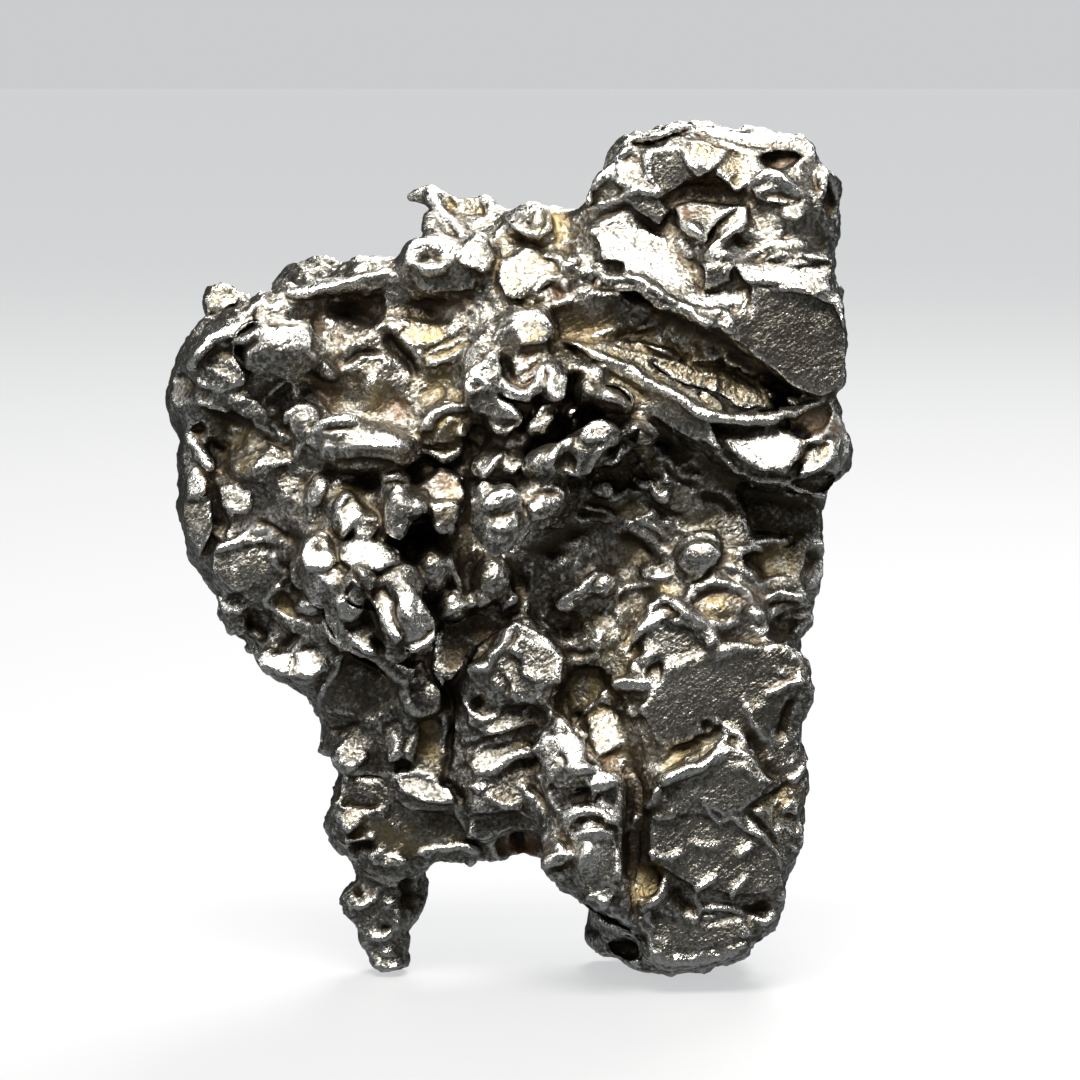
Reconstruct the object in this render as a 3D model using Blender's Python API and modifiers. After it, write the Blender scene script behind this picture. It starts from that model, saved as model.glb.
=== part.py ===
"""Iron meteorite: one natural lump of iron, about 43 mm tall, standing on two feet.

The lump is modelled in millimetres and scaled to metres at the end.
+X is to the right of its show face, +Y is behind it, and +Z is up.
Its bulk, crystals, lobes, prongs and knobs are joined by a voxel remesh, its
pits and gaps are cut out of that, and the skin is roughened and thinned.
"""

import math

import bmesh
import bpy
from mathutils import Matrix, Vector, noise

MM = 0.001
VOXEL = 0.34            # size of the remesh cells
TARGET_TRIANGLES = 9400
SMOOTH_ROUNDS = 2
WAVES = ((3.1, 0.24), (1.3, 0.1))    # wavelength and height of the skin's unevenness
WAVE_SEED = Vector((11.3, 4.7, 29.1))
GRAIN = 2.6             # width of the crystal faces that break up the skin
GRAIN_TILT = 0.27       # how steeply they lean
GRAIN_STEP = 0.3        # the highest step between two of them
FRONT_GRAIN = 0.35      # the share of that on the show face, which has its own crystals
SKIN_DROP = 0.1         # how far the skin sinks, so that its peaks keep to the outline
GROUND_CUT = 0.1        # the feet are flattened this far up


# Bulk plates: outline in X and Z, front and back in Y, lean (face up), swing (face right)
PLATES = {
    "core": dict(
        outline=[(-16.0, 29.0), (-15.3, 31.2), (-13.3, 33.0), (-9.8, 34.4), (-5.2, 35.3),
                 (-3.2, 36.4), (0.8, 37.6), (4.2, 37.5), (9.8, 40.8), (15.4, 40.0), (16.2, 36.2),
                 (16.4, 29.6), (15.4, 28.8), (16.2, 26.8), (15.8, 24.2), (15.2, 22.8),
                 (15.3, 18.8), (14.4, 16.2), (13.8, 11.8), (13.9, 9.2), (13.6, 6.2), (12.8, 4.2),
                 (11.8, 2.5), (9.2, 1.2), (6.8, 1.2), (4.8, 2.4), (3.3, 4.4), (2.2, 5.9),
                 (1.0, 6.6), (-1.8, 6.4), (-4.2, 6.6), (-6.8, 6.4), (-8.0, 7.8), (-8.2, 10.8),
                 (-8.8, 12.8), (-10.2, 14.4), (-12.0, 16.4), (-13.3, 18.2), (-14.4, 20.8),
                 (-15.3, 22.8), (-15.3, 25.8), (-16.0, 27.6)],
        front=-2.4, back=3.0),
    "heart": dict(
        outline=[(-13.4, 24.2), (-13.6, 28.4), (-11.6, 31.6), (-6.2, 33.2), (-2.6, 34.8),
                 (1.6, 36.0), (5.2, 36.6), (8.4, 39.4), (13.8, 38.8), (14.6, 35.2), (14.6, 30.2),
                 (13.9, 26.0), (13.4, 21.4), (12.6, 15.6), (12.2, 8.2), (10.6, 4.0), (7.2, 3.2),
                 (4.4, 5.6), (2.6, 8.2), (-5.8, 8.4), (-6.6, 11.6), (-8.8, 15.4), (-11.8, 18.6)],
        front=-4.7, back=2.0, bevel=1.1),
    "crown block": dict(
        outline=[(3.4, 37.4), (4.4, 39.1), (5.9, 40.9), (7.0, 42.1), (8.0, 42.5), (9.7, 42.3),
                 (14.3, 42.0), (15.8, 40.7), (16.6, 38.5), (16.3, 36.2), (16.7, 33.2),
                 (16.6, 30.2), (16.0, 29.4), (13.7, 30.0), (11.5, 31.7), (9.2, 33.2),
                 (6.7, 34.1), (4.8, 35.2), (3.8, 36.2)],
        front=-4.8, back=4.4, bevel=1.2),
    "crown shelf": dict(
        outline=[(4.4, 38.3), (7.5, 38.0), (10.0, 36.3), (12.6, 34.8), (15.6, 33.8),
                 (16.6, 32.4), (16.6, 30.3), (13.7, 30.5), (11.5, 32.3), (9.2, 33.7),
                 (6.7, 34.5), (4.8, 35.6)],
        front=-6.6, back=-1.0, lean=36, bevel=0.3),
    "crown skirt": dict(
        outline=[(12.0, 35.3), (14.5, 35.9), (16.2, 34.5), (16.5, 32.4), (16.3, 30.2),
                 (15.4, 30.0), (13.6, 31.2), (11.9, 32.6)],
        front=-7.0, back=-1.0, lean=-12, swing=14, bevel=0.5),
    "ledge": dict(
        outline=[(2.9, 32.4), (4.8, 32.2), (7.3, 31.0), (9.8, 29.3), (13.3, 29.0),
                 (15.7, 29.3), (16.5, 28.2), (16.6, 26.4), (16.0, 25.0), (14.8, 25.0),
                 (12.8, 25.5), (11.5, 26.4), (9.8, 27.9), (7.5, 29.3), (5.3, 30.5), (3.5, 31.7)],
        front=-7.4, back=2.0, lean=-14, bevel=0.3),
    "ledge floor": dict(
        outline=[(2.8, 33.8), (6.0, 34.3), (9.5, 33.0), (12.3, 31.2), (16.2, 29.9),
                 (14.2, 28.3), (9.8, 28.9), (6.8, 30.6), (3.8, 32.0)],
        front=-5.6, back=2.0, lean=24),
    "centre crystal": dict(
        outline=[(-2.0, 30.5), (-0.6, 32.9), (1.7, 33.6), (2.8, 32.3), (3.0, 29.8),
                 (1.8, 27.9), (0.0, 27.6), (-1.4, 28.8)],
        front=-7.6, back=-0.5, lean=10, swing=-8, bevel=0.5),
    "wedge crystal": dict(
        outline=[(-4.1, 25.4), (-2.0, 25.6), (-2.1, 24.4), (-2.8, 23.2), (-3.5, 23.3),
                 (-4.0, 24.4)],
        front=-8.0, back=-3.0, lean=-10, bevel=0.2),
    "middle crystal": dict(
        outline=[(-2.2, 15.2), (-1.8, 16.3), (-0.2, 17.3), (0.7, 18.5), (2.8, 17.1),
                 (2.9, 14.6), (2.0, 13.6), (-0.8, 13.7)],
        front=-7.2, back=0.0, lean=12, bevel=0.3),
    "big facet": dict(
        outline=[(7.0, 19.4), (8.4, 19.7), (10.8, 17.8), (14.0, 17.3), (14.8, 15.6),
                 (14.3, 14.7), (14.2, 12.7), (14.6, 10.7), (14.4, 8.2), (14.1, 6.2),
                 (13.6, 4.4), (12.8, 3.0), (11.6, 1.9), (9.8, 1.1), (7.6, 1.1), (6.3, 2.4),
                 (5.9, 7.2), (6.2, 11.7), (6.6, 14.7), (6.1, 15.7), (6.8, 17.2)],
        front=-7.4, back=2.0, swing=5, bevel=0.5),
    "raised facet": dict(
        outline=[(7.4, 11.0), (9.6, 11.8), (11.7, 13.1), (13.3, 10.9), (12.7, 9.4), (13.8, 7.8),
                 (13.0, 5.1), (9.8, 5.2), (7.2, 7.6)],
        front=-8.2, back=-4.0, swing=4, bevel=0.2),
    "blade": dict(
        outline=[(2.7, 14.0), (4.0, 12.3), (5.5, 11.3), (5.7, 8.9), (5.7, 6.4), (6.0, 5.0),
                 (6.6, 3.4), (5.2, 3.5), (3.4, 4.7), (2.0, 5.9), (1.8, 7.2), (2.6, 8.8),
                 (2.1, 11.2), (1.5, 12.6)],
        front=-8.0, back=-0.5, lean=4, swing=-6, bevel=0.4),
    "lower slope": dict(
        outline=[(-8.3, 10.6), (-5.8, 10.3), (-2.6, 9.0), (-1.6, 7.0), (-2.0, 6.4),
                 (-7.6, 6.7), (-8.6, 8.2)],
        front=-4.2, back=1.0, lean=-20, bevel=0.3),
}

# Rounded lumps: centre, radii, turn (clockwise degrees as seen from the show face)
LUMPS = {
    "left shoulder": ((-13.2, -0.6, 29.4), (3.6, 4.8, 4.0), 0),
    "left shoulder boulder": ((-11.1, -4.6, 31.7), (2.2, 2.2, 1.5), 10),
    "left knob behind": ((-14.1, 1.6, 33.6), (1.4, 1.5, 1.4), 0),
    "left hump": ((-9.2, 0.8, 34.0), (2.3, 2.8, 1.8), 0),
    "left rim low": ((-14.9, -1.4, 23.7), (1.5, 3.0, 3.6), 0),
    "left cheek": ((-12.6, -1.6, 21.0), (2.6, 3.4, 2.6), 0),
    "left bead": ((-13.2, -0.6, 18.3), (1.35, 1.8, 1.4), 0),
    "left tail": ((-10.6, -0.6, 16.1), (2.3, 2.8, 1.7), 30),
    "top ridge lump": ((-6.6, -1.4, 35.1), (1.8, 2.6, 1.3), 0),
    "twin knob left": ((-3.5, -3.4, 35.7), (1.7, 2.0, 1.5), 0),
    "twin knob right": ((-1.4, -3.8, 36.2), (1.1, 1.6, 1.3), 0),
    "neck": ((-1.0, 0.2, 37.8), (1.8, 1.8, 1.2), 0),
    "neck bead": ((-1.1, 0.3, 38.9), (0.55, 0.6, 0.45), 0),
    "saddle knob": ((1.3, -1.6, 37.5), (1.4, 2.2, 1.2), 0),
    "saddle": ((2.9, -0.4, 37.4), (1.3, 2.6, 1.3), 0),
    "throat": ((1.8, -1.9, 34.9), (2.8, 3.0, 2.3), 0),
    "crown brow": ((8.0, -3.3, 40.9), (3.2, 1.6, 1.0), -8),
    "crown temple": ((14.8, -3.6, 38.8), (2.0, 2.3, 2.2), 0),
    "crown left facet": ((7.2, -3.8, 39.6), (2.4, 1.8, 1.5), -10),
    "crown middle": ((12.3, -4.0, 36.8), (2.6, 2.0, 1.8), 0),
    "ledge end": ((14.6, -4.6, 26.9), (2.5, 3.2, 1.9), 0),
    "pale crystal": ((-2.8, -3.9, 27.9), (1.7, 2.6, 1.5), -20),
    "brow knob": ((-0.1, -5.6, 26.2), (1.6, 2.0, 0.9), 0),
    "first nub tip": ((-0.3, -10.3, 23.7), (1.1, 1.6, 1.8), 8),
    "second nub tip": ((-4.9, -9.0, 24.3), (0.8, 1.3, 0.8), 0),
    "second nub spur": ((-5.6, -8.2, 23.1), (0.6, 1.2, 0.7), 0),
    "lobe boulder": ((-9.1, -5.8, 21.2), (1.3, 2.6, 2.2), 0),
    "lobe top": ((-7.6, -5.2, 23.7), (1.5, 2.4, 2.0), 0),
    "lobe shoulder": ((-6.5, -5.8, 21.6), (2.0, 2.3, 1.2), 25),
    "left centre": ((-10.2, -4.0, 24.3), (1.6, 2.2, 2.2), 0),
    "left centre high": ((-12.0, -4.6, 25.9), (1.7, 1.6, 1.1), 0),
    "lower pillar": ((-4.0, -3.6, 14.8), (1.0, 2.2, 1.7), 0),
    "lower left bulk": ((-6.8, -0.8, 12.9), (2.8, 3.0, 3.0), 0),
    "belly": ((-0.2, -2.2, 10.3), (3.2, 3.6, 3.6), 0),
    "belly left": ((-5.5, -0.6, 8.9), (3.2, 3.0, 2.5), 0),
    "waist bead": ((-9.2, -0.4, 11.3), (0.6, 1.0, 0.7), 0),
    "hip": ((-8.1, -0.6, 7.8), (1.1, 1.9, 1.4), 0),
    "arch bead": ((-1.8, 0.6, 5.7), (0.7, 1.0, 0.8), 0),
    "left foot neck": ((-5.9, -1.0, 5.4), (1.9, 2.2, 1.6), 0),
    "left foot ankle": ((-6.1, -0.8, 3.4), (2.25, 2.1, 1.6), 0),
    "left foot prong": ((-4.4, -0.2, 3.8), (0.85, 1.4, 1.5), 0),
    "left foot toe": ((-6.1, -0.8, 2.0), (1.5, 1.8, 2.0), -8),
    "left foot tip": ((-5.8, -0.8, 0.9), (1.2, 1.7, 1.3), 0),
    "right cheek": ((13.7, -1.4, 21.0), (2.4, 3.0, 1.8), 0),
    "right knob": ((9.8, -4.4, 21.4), (1.5, 2.2, 1.1), 0),
    "right bead": ((12.6, -5.4, 18.5), (0.6, 0.9, 0.6), 0),
    "centre right": ((6.8, -2.4, 23.3), (3.0, 2.8, 2.6), 0),
    "centre right low": ((5.3, -3.6, 18.8), (2.0, 2.2, 1.8), 0),
    "centre fill left": ((-2.8, -2.4, 20.6), (3.2, 3.2, 3.8), 0),
    "centre fill right": ((2.8, -0.8, 19.0), (3.5, 3.0, 3.5), 0),
    "brown crystal": ((4.3, -3.2, 14.8), (1.8, 2.2, 2.2), 0),
    "rough crystal": ((5.3, -4.6, 12.6), (1.3, 1.8, 1.7), 0),
    "right hip": ((13.7, -2.4, 9.9), (1.3, 2.2, 1.6), 0),
    "lip backing": ((10.2, -5.8, 33.3), (5.4, 1.4, 1.2), 27),
    "floor under ledge": ((5.2, -3.4, 29.6), (3.0, 2.9, 2.4), 0),
    "floor beside tongue": ((8.6, -3.6, 26.2), (3.0, 2.4, 2.2), 20),
    "floor below nub": ((2.4, -3.4, 21.6), (3.4, 2.7, 2.8), 0),
    "floor of round pit": ((10.7, -4.6, 19.3), (2.4, 1.9, 1.8), 0),
    "floor above belly": ((-0.2, -4.2, 13.2), (2.6, 1.9, 1.6), 0),
    "floor beside crystal": ((4.9, -4.2, 16.9), (2.2, 2.0, 2.0), 0),
    "right foot": ((8.6, -1.0, 2.5), (4.3, 5.4, 2.8), 0),
    "right foot toe": ((5.4, 0.6, 1.8), (1.6, 2.6, 1.7), 0),
    "back upper": ((9.4, 2.6, 34.8), (6.4, 4.6, 6.0), 8),
    "back left": ((-8.5, 1.6, 27.0), (7.0, 4.6, 7.0), 0),
    "back middle": ((2.0, 3.0, 23.5), (11.0, 4.6, 9.0), 0),
    "back right": ((10.5, 2.6, 17.0), (4.5, 4.2, 9.0), 0),
    "back low": ((5.4, 3.0, 10.6), (7.2, 4.4, 5.8), 0),
    "heel": ((9.0, 3.0, 2.6), (3.8, 2.9, 2.6), 0),
}

# Small crystals and beads that stand out of the show face, in the same form
CRYSTALS = {
    "crown crystal": ((9.7, -4.2, 40.8), (1.5, 1.6, 0.9), 0),
    "crown crystal left": ((7.7, -4.0, 40.2), (1.2, 1.5, 1.3), -10),
    "crown crystal right": ((11.6, -4.2, 40.3), (1.1, 1.4, 0.9), 20),
    "crown crystal far right": ((13.4, -4.4, 39.5), (1.4, 1.5, 0.8), 10),
    "crown grey bead": ((6.9, -4.4, 38.8), (1.2, 1.4, 0.9), 10),
    "crown bead right": ((14.0, -5.0, 37.9), (1.0, 1.2, 0.8), 20),
    "shelf block": ((10.6, -6.4, 36.2), (0.9, 1.0, 0.7), 0),
    "shelf right": ((14.6, -6.2, 36.0), (1.8, 1.3, 0.7), 12),
    "crystal left lobe": ((-1.1, -6.8, 29.8), (1.0, 1.4, 1.2), 0),
    "crystal right lobe": ((2.2, -6.4, 30.3), (1.0, 1.4, 1.4), 0),
    "crystal spike": ((-0.2, -6.2, 28.2), (0.75, 1.3, 1.1), 0),
    "crystal low": ((1.9, -5.8, 28.5), (1.15, 1.5, 1.2), 0),
    "crystal head": ((1.3, -5.2, 32.7), (1.25, 1.6, 1.0), 0),
    "throat crystal": ((1.7, -4.2, 32.9), (1.3, 1.7, 1.0), 0),
    "throat crystal high": ((1.5, -3.6, 34.6), (1.4, 1.7, 0.9), 15),
    "throat bead": ((3.6, -3.6, 35.5), (1.0, 1.4, 0.9), 0),
    "golden crystal": ((-3.8, -2.4, 32.3), (1.3, 1.6, 0.8), 25),
    "shoulder slab": ((-14.1, -3.0, 30.4), (1.9, 2.0, 2.0), 0),
    "shoulder slab low": ((-12.6, -4.2, 28.6), (1.8, 1.6, 1.0), 20),
    "shoulder wall": ((-8.5, -2.2, 32.4), (1.6, 1.8, 1.3), 0),
    "shoulder wall low": ((-7.2, -2.8, 30.6), (1.3, 1.7, 1.0), 0),
    "brown lump": ((-6.8, -3.0, 28.9), (1.5, 1.7, 1.3), 0),
    "brown lump left": ((-9.8, -4.2, 28.9), (1.3, 1.6, 1.0), 20),
    "pale slab": ((-11.5, -4.2, 26.5), (1.4, 1.5, 1.0), -20),
    "left rim high": ((-15.3, -2.0, 26.3), (1.0, 1.8, 1.1), 0),
    "left rim middle": ((-15.2, -2.0, 24.4), (1.0, 1.9, 1.4), 0),
    "left dark knob": ((-13.6, -3.0, 24.6), (1.3, 1.5, 1.2), 0),
    "left slab": ((-13.2, -2.8, 21.2), (1.9, 2.0, 1.3), -15),
    "left rough": ((-11.2, -3.8, 22.4), (1.2, 1.6, 1.3), 0),
    "lobe head": ((-9.7, -4.8, 23.4), (1.0, 1.8, 1.1), 0),
    "lobe brow": ((-8.5, -5.0, 25.2), (1.5, 1.6, 0.8), -20),
    "tail bright": ((-9.7, -2.4, 15.9), (1.7, 1.8, 1.2), 20),
    "tail bright left": ((-11.5, -1.8, 16.6), (1.3, 1.6, 1.1), 30),
    "brown slope": ((-7.8, -2.2, 14.5), (1.9, 1.9, 1.9), 0),
    "waist bright": ((-7.6, -3.0, 11.4), (1.3, 1.6, 1.1), 0),
    "waist ribs": ((-5.2, -3.0, 12.2), (1.3, 1.6, 1.5), 0),
    "belly slab": ((-3.9, -3.6, 9.7), (1.7, 1.6, 0.9), 12),
    "hip lump": ((-7.6, -2.6, 7.7), (1.4, 1.8, 0.9), 15),
    "hip under": ((-5.8, -2.8, 6.4), (1.5, 1.5, 0.7), 0),
    "belly bead": ((-0.8, -4.8, 9.3), (1.4, 1.5, 1.0), 0),
    "belly bead right": ((1.7, -4.9, 9.4), (0.9, 1.6, 1.5), 0),
    "belly plate": ((-0.7, -4.8, 12.0), (1.9, 1.5, 1.0), -12),
    "middle left": ((-1.3, -5.4, 15.0), (1.1, 1.5, 1.3), 0),
    "middle right": ((1.3, -5.6, 15.1), (1.4, 1.5, 1.4), 0),
    "flank left": ((7.8, -3.8, 24.6), (1.2, 1.6, 1.0), 0),
    "flank brown": ((9.2, -3.6, 23.9), (1.2, 1.6, 1.1), 0),
    "flank dark": ((11.0, -3.0, 22.6), (1.6, 1.8, 1.2), 0),
    "flank rough": ((6.4, -4.2, 22.6), (1.4, 1.6, 1.1), 30),
    "flank low": ((7.6, -4.2, 20.7), (1.3, 1.6, 1.0), 30),
    "flank pocket lip": ((11.9, -4.6, 21.0), (0.9, 1.4, 1.1), 0),
    "flank pocket foot": ((13.6, -4.2, 19.3), (1.8, 1.4, 0.7), 0),
    "ring lump": ((4.9, -4.2, 24.6), (0.9, 1.4, 0.9), 0),
    "gap sliver": ((-2.6, -5.0, 20.9), (0.6, 1.3, 1.3), -15),
    "gap stone": ((-1.2, -4.6, 19.2), (1.1, 1.5, 0.9), 0),
    "gap stone right": ((0.6, -4.4, 19.2), (0.9, 1.3, 0.8), 0),
    "facet top": ((8.2, -6.2, 18.6), (1.2, 1.5, 1.1), 0),
    "facet left": ((6.3, -5.6, 15.4), (0.9, 1.4, 1.4), 0),
    "facet bright": ((5.1, -5.2, 13.4), (1.1, 1.5, 1.0), 0),
    "facet right": ((14.2, -5.2, 14.6), (1.0, 2.0, 1.6), 0),
    "facet pillar": ((12.6, -6.2, 13.8), (0.8, 1.4, 1.6), -20),
    "foot bead": ((12.7, -3.4, 3.5), (1.3, 1.8, 1.1), 0),
    "foot step": ((9.8, -6.0, 3.8), (1.6, 1.6, 0.9), 10),
}

# Prongs, bars and crests: points along the middle line, with the radius at each
RODS = {
    "shoulder crest": [((-15.9, -1.2, 29.4), 1.1), ((-14.7, -2.4, 31.7), 1.2),
                       ((-12.2, -2.8, 33.2), 1.2), ((-7.2, -2.4, 34.6), 1.0)],
    "top hook": [((-4.75, 0.6, 38.7), 0.42), ((-3.7, 0.5, 39.0), 0.72), ((-2.7, 0.3, 38.2), 0.9),
                 ((-1.4, 0.2, 37.4), 1.1)],
    "hook stem": [((-3.3, -1.0, 37.6), 0.9), ((-2.6, -2.0, 36.4), 1.2)],
    "level bar": [((-10.5, -4.8, 26.6), 1.0), ((-7.8, -5.8, 27.2), 1.2), ((-5.0, -5.6, 26.8), 1.1)],
    "tongue": [((6.4, -5.2, 28.1), 1.2), ((5.0, -7.0, 27.6), 1.45), ((3.6, -7.9, 26.9), 1.15),
               ((2.6, -8.2, 26.3), 0.8)],
    "first nub": [((3.0, -4.4, 24.9), 1.6), ((1.5, -7.6, 24.4), 1.4), ((0.0, -10.4, 23.6), 1.1)],
    "second nub": [((-5.6, -5.6, 24.6), 1.0), ((-5.2, -8.4, 24.5), 0.8)],
    "lobe one": [((-8.0, -6.6, 20.0), 1.0), ((-6.7, -6.8, 17.6), 1.1)],
    "lobe two": [((-6.4, -7.6, 20.4), 0.85), ((-5.2, -7.6, 17.3), 0.9)],
    "lobe three": [((-5.0, -7.4, 21.0), 0.9), ((-4.0, -7.4, 18.0), 0.95)],
    "lobe skirt": [((-8.6, -5.0, 17.8), 0.6), ((-7.0, -6.2, 16.8), 0.6), ((-4.9, -5.8, 15.6), 0.7)],
    "crown rim": [((3.9, -2.6, 38.0), 0.9), ((5.9, -3.2, 40.6), 1.0), ((8.0, -3.4, 41.6), 1.0),
                  ((12.0, -3.4, 41.3), 0.9), ((14.5, -3.0, 40.7), 1.1), ((15.8, -2.6, 38.6), 1.1)],
    "shelf lip": [((4.6, -6.2, 35.6), 0.6), ((7.2, -7.3, 34.3), 0.7), ((10.0, -7.5, 33.5), 0.7),
                  ((11.6, -7.4, 32.5), 0.6), ((13.2, -6.8, 31.5), 0.6), ((15.4, -5.4, 30.2), 0.6)],
    "ledge crest": [((3.2, -4.6, 32.6), 0.7), ((6.8, -6.6, 30.9), 0.7), ((9.9, -7.4, 28.9), 0.8),
                    ((13.4, -7.2, 28.3), 0.7), ((15.6, -5.2, 29.0), 0.8)],
    "crown fin": [((12.2, -4.8, 38.6), 0.5), ((10.6, -5.8, 36.8), 0.55)],
    "crown gutter edge": [((3.0, -3.6, 34.4), 0.45), ((4.9, -4.2, 35.3), 0.5)],
    "throat bars": [((-4.3, -2.4, 31.0), 0.5), ((-1.6, -3.0, 32.4), 0.5)],
    "shoulder fin": [((-9.9, -4.8, 31.5), 0.55), ((-8.2, -4.2, 30.2), 0.5)],
    "shelf tooth": [((8.4, -5.6, 33.6), 0.7), ((9.4, -6.0, 32.5), 0.6)],
    "right rim": [((15.3, -1.6, 22.6), 0.7), ((15.3, -2.0, 20.0), 0.7), ((14.8, -1.8, 18.0), 0.7)],
    "small bar": [((2.9, -5.6, 19.1), 0.5), ((4.9, -5.6, 20.4), 0.6)],
    "hip edge": [((-8.1, -2.2, 6.9), 0.8), ((-6.1, -3.0, 6.1), 0.9), ((-4.5, -2.8, 5.9), 0.8)],
    "arch edge": [((-4.6, -1.6, 6.4), 0.8), ((-1.8, -2.2, 6.3), 0.8), ((1.2, -2.4, 6.5), 0.8)],
    "blade side": [((6.2, -6.2, 13.4), 0.7), ((6.1, -6.2, 8.6), 0.7), ((6.4, -5.8, 4.4), 0.7)],
    "blade crest": [((2.8, -7.4, 13.8), 0.5), ((4.4, -8.0, 11.4), 0.6), ((4.7, -8.3, 8.6), 0.7),
                    ((5.0, -8.0, 5.4), 0.7), ((7.0, -6.6, 2.9), 0.6)],
}

# Pits and hollows: centre, radii, turn
PITS = {
    "shoulder pit": ((-11.5, -7.0, 31.1), (1.5, 1.0, 0.6), 0),
    "shoulder hollow": ((-13.9, -6.0, 28.0), (1.5, 1.8, 0.9), 20),
    "crown cave": ((9.9, -5.8, 39.0), (1.8, 1.7, 0.8), 8),
    "crown dent": ((13.6, -5.6, 40.6), (1.1, 1.0, 0.5), 0),
    "dark mouth": ((-4.0, -5.0, 33.4), (1.8, 1.9, 0.7), 0),
    "under ledge": ((13.2, -5.6, 24.0), (3.2, 1.8, 0.9), 0),
    "under ledge left": ((9.4, -6.2, 25.8), (1.5, 1.4, 0.8), 30),
    "round pit": ((10.6, -7.4, 19.1), (1.4, 1.6, 0.85), 0),
    "centre gap": ((-1.9, -6.6, 18.3), (1.7, 1.6, 1.0), -25),
    "below nub": ((2.6, -6.8, 22.1), (2.0, 1.3, 1.0), 0),
    "arch pit": ((0.5, -5.2, 6.9), (1.1, 0.9, 0.6), 0),
    "foot hollow": ((6.2, -4.6, 1.9), (1.0, 1.3, 0.7), 0),
    "crown right hollow": ((16.3, -4.2, 38.8), (1.1, 1.2, 1.0), 0),
    "left pit": ((-14.1, -5.6, 27.1), (1.4, 1.4, 0.8), 25),
    "lobe hollow": ((-11.0, -5.0, 18.7), (0.8, 1.4, 0.6), 20),
    "flank hollow": ((14.0, -6.0, 20.5), (1.5, 1.5, 0.8), 0),
    "loop": ((4.2, -9.4, 8.9), (0.9, 1.1, 0.35), 10),
    "tail hollow": ((-4.9, -5.2, 17.0), (0.9, 1.2, 0.7), 0),
    "crystal dent": ((0.4, -8.4, 31.2), (0.8, 1.0, 0.7), 0),
    "facet hollow": ((7.5, -8.2, 5.4), (0.7, 0.9, 0.8), 0),
    "back thumbprint": ((1.0, 8.8, 28.0), (4.4, 2.4, 3.6), 20),
    "back thumbprint low": ((8.6, 8.6, 15.5), (3.4, 2.2, 4.4), -15),
    "back thumbprint left": ((-8.4, 7.6, 24.5), (3.4, 2.4, 3.0), 0),
    "back thumbprint high": ((11.0, 8.6, 35.4), (3.4, 2.4, 2.8), 10),
    "back thumbprint heel": ((-0.5, 7.8, 13.0), (3.2, 2.2, 2.6), 30),
    "right side hollow": ((17.6, 1.8, 20.6), (2.0, 3.0, 3.2), 0),
    "crown side hollow": ((18.0, 0.6, 35.4), (1.8, 2.6, 2.6), 0),
    "left side hollow": ((-17.9, 1.8, 27.0), (1.6, 1.8, 2.4), 0),
    "crown top hollow": ((11.2, 1.4, 44.0), (3.2, 2.4, 1.8), 0),
}

# Gaps: middle line and radius, as for rods
GAPS = {
    "slot": [((-5.6, -4.8, 32.4), 0.5), ((-4.6, -4.9, 29.9), 0.45)],
    "crown crevice": [((5.2, -6.8, 33.9), 0.35), ((8.0, -7.2, 32.8), 0.45),
                      ((10.2, -7.2, 31.7), 0.45), ((12.2, -6.9, 30.6), 0.4),
                      ((14.4, -6.4, 29.6), 0.4), ((17.4, -5.4, 29.0), 0.4)],
    "left gap": [((-3.1, -6.2, 18.6), 0.6), ((-2.9, -5.8, 15.6), 0.55), ((-2.7, -5.5, 12.6), 0.4)],
    "back groove": [((-4.0, 8.0, 20.5), 0.9), ((0.5, 8.8, 18.6), 1.1), ((5.0, 8.8, 21.0), 0.9)],
    "right notch": [((17.4, -3.5, 29.2), 0.5), ((16.6, 0.0, 29.2), 0.4), ((17.2, 3.5, 29.2), 0.5)],
    "nub shadow": [((-3.0, -6.5, 22.0), 0.6), ((-0.4, -6.6, 21.4), 0.7), ((1.6, -6.6, 21.2), 0.7)],
}


def evaluated_copy(obj):
    """A new mesh with obj's modifiers and curve bevel applied, in obj's own space."""
    bpy.context.view_layer.update()
    graph = bpy.context.evaluated_depsgraph_get()
    return bpy.data.meshes.new_from_object(obj.evaluated_get(graph))


def remove(obj):
    data = obj.data
    bpy.data.objects.remove(obj)
    (bpy.data.curves if isinstance(data, bpy.types.Curve) else bpy.data.meshes).remove(data)


def take_curve(body, curve, place=Matrix(), bevel=0.0):
    """Adds the solid of a curve object to the bmesh body, and removes the curve."""
    mesh = evaluated_copy(curve)
    remove(curve)
    part = bmesh.new()
    part.from_mesh(mesh)
    bmesh.ops.remove_doubles(part, verts=part.verts, dist=1e-4)
    if bevel:
        sharp = [edge for edge in part.edges
                 if len(edge.link_faces) == 2 and edge.calc_face_angle() > math.radians(60)]
        bmesh.ops.bevel(part, geom=sharp, offset=bevel, segments=2, affect="EDGES", profile=0.5)
    bmesh.ops.transform(part, matrix=place, verts=part.verts)
    bmesh.ops.recalc_face_normals(part, faces=part.faces)
    part.to_mesh(mesh)
    part.free()
    body.from_mesh(mesh)
    bpy.data.meshes.remove(mesh)


def curve_object(name, dimensions):
    curve = bpy.data.curves.new(name, "CURVE")
    curve.dimensions = dimensions
    obj = bpy.data.objects.new(name, curve)
    bpy.context.scene.collection.objects.link(obj)
    return obj


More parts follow.
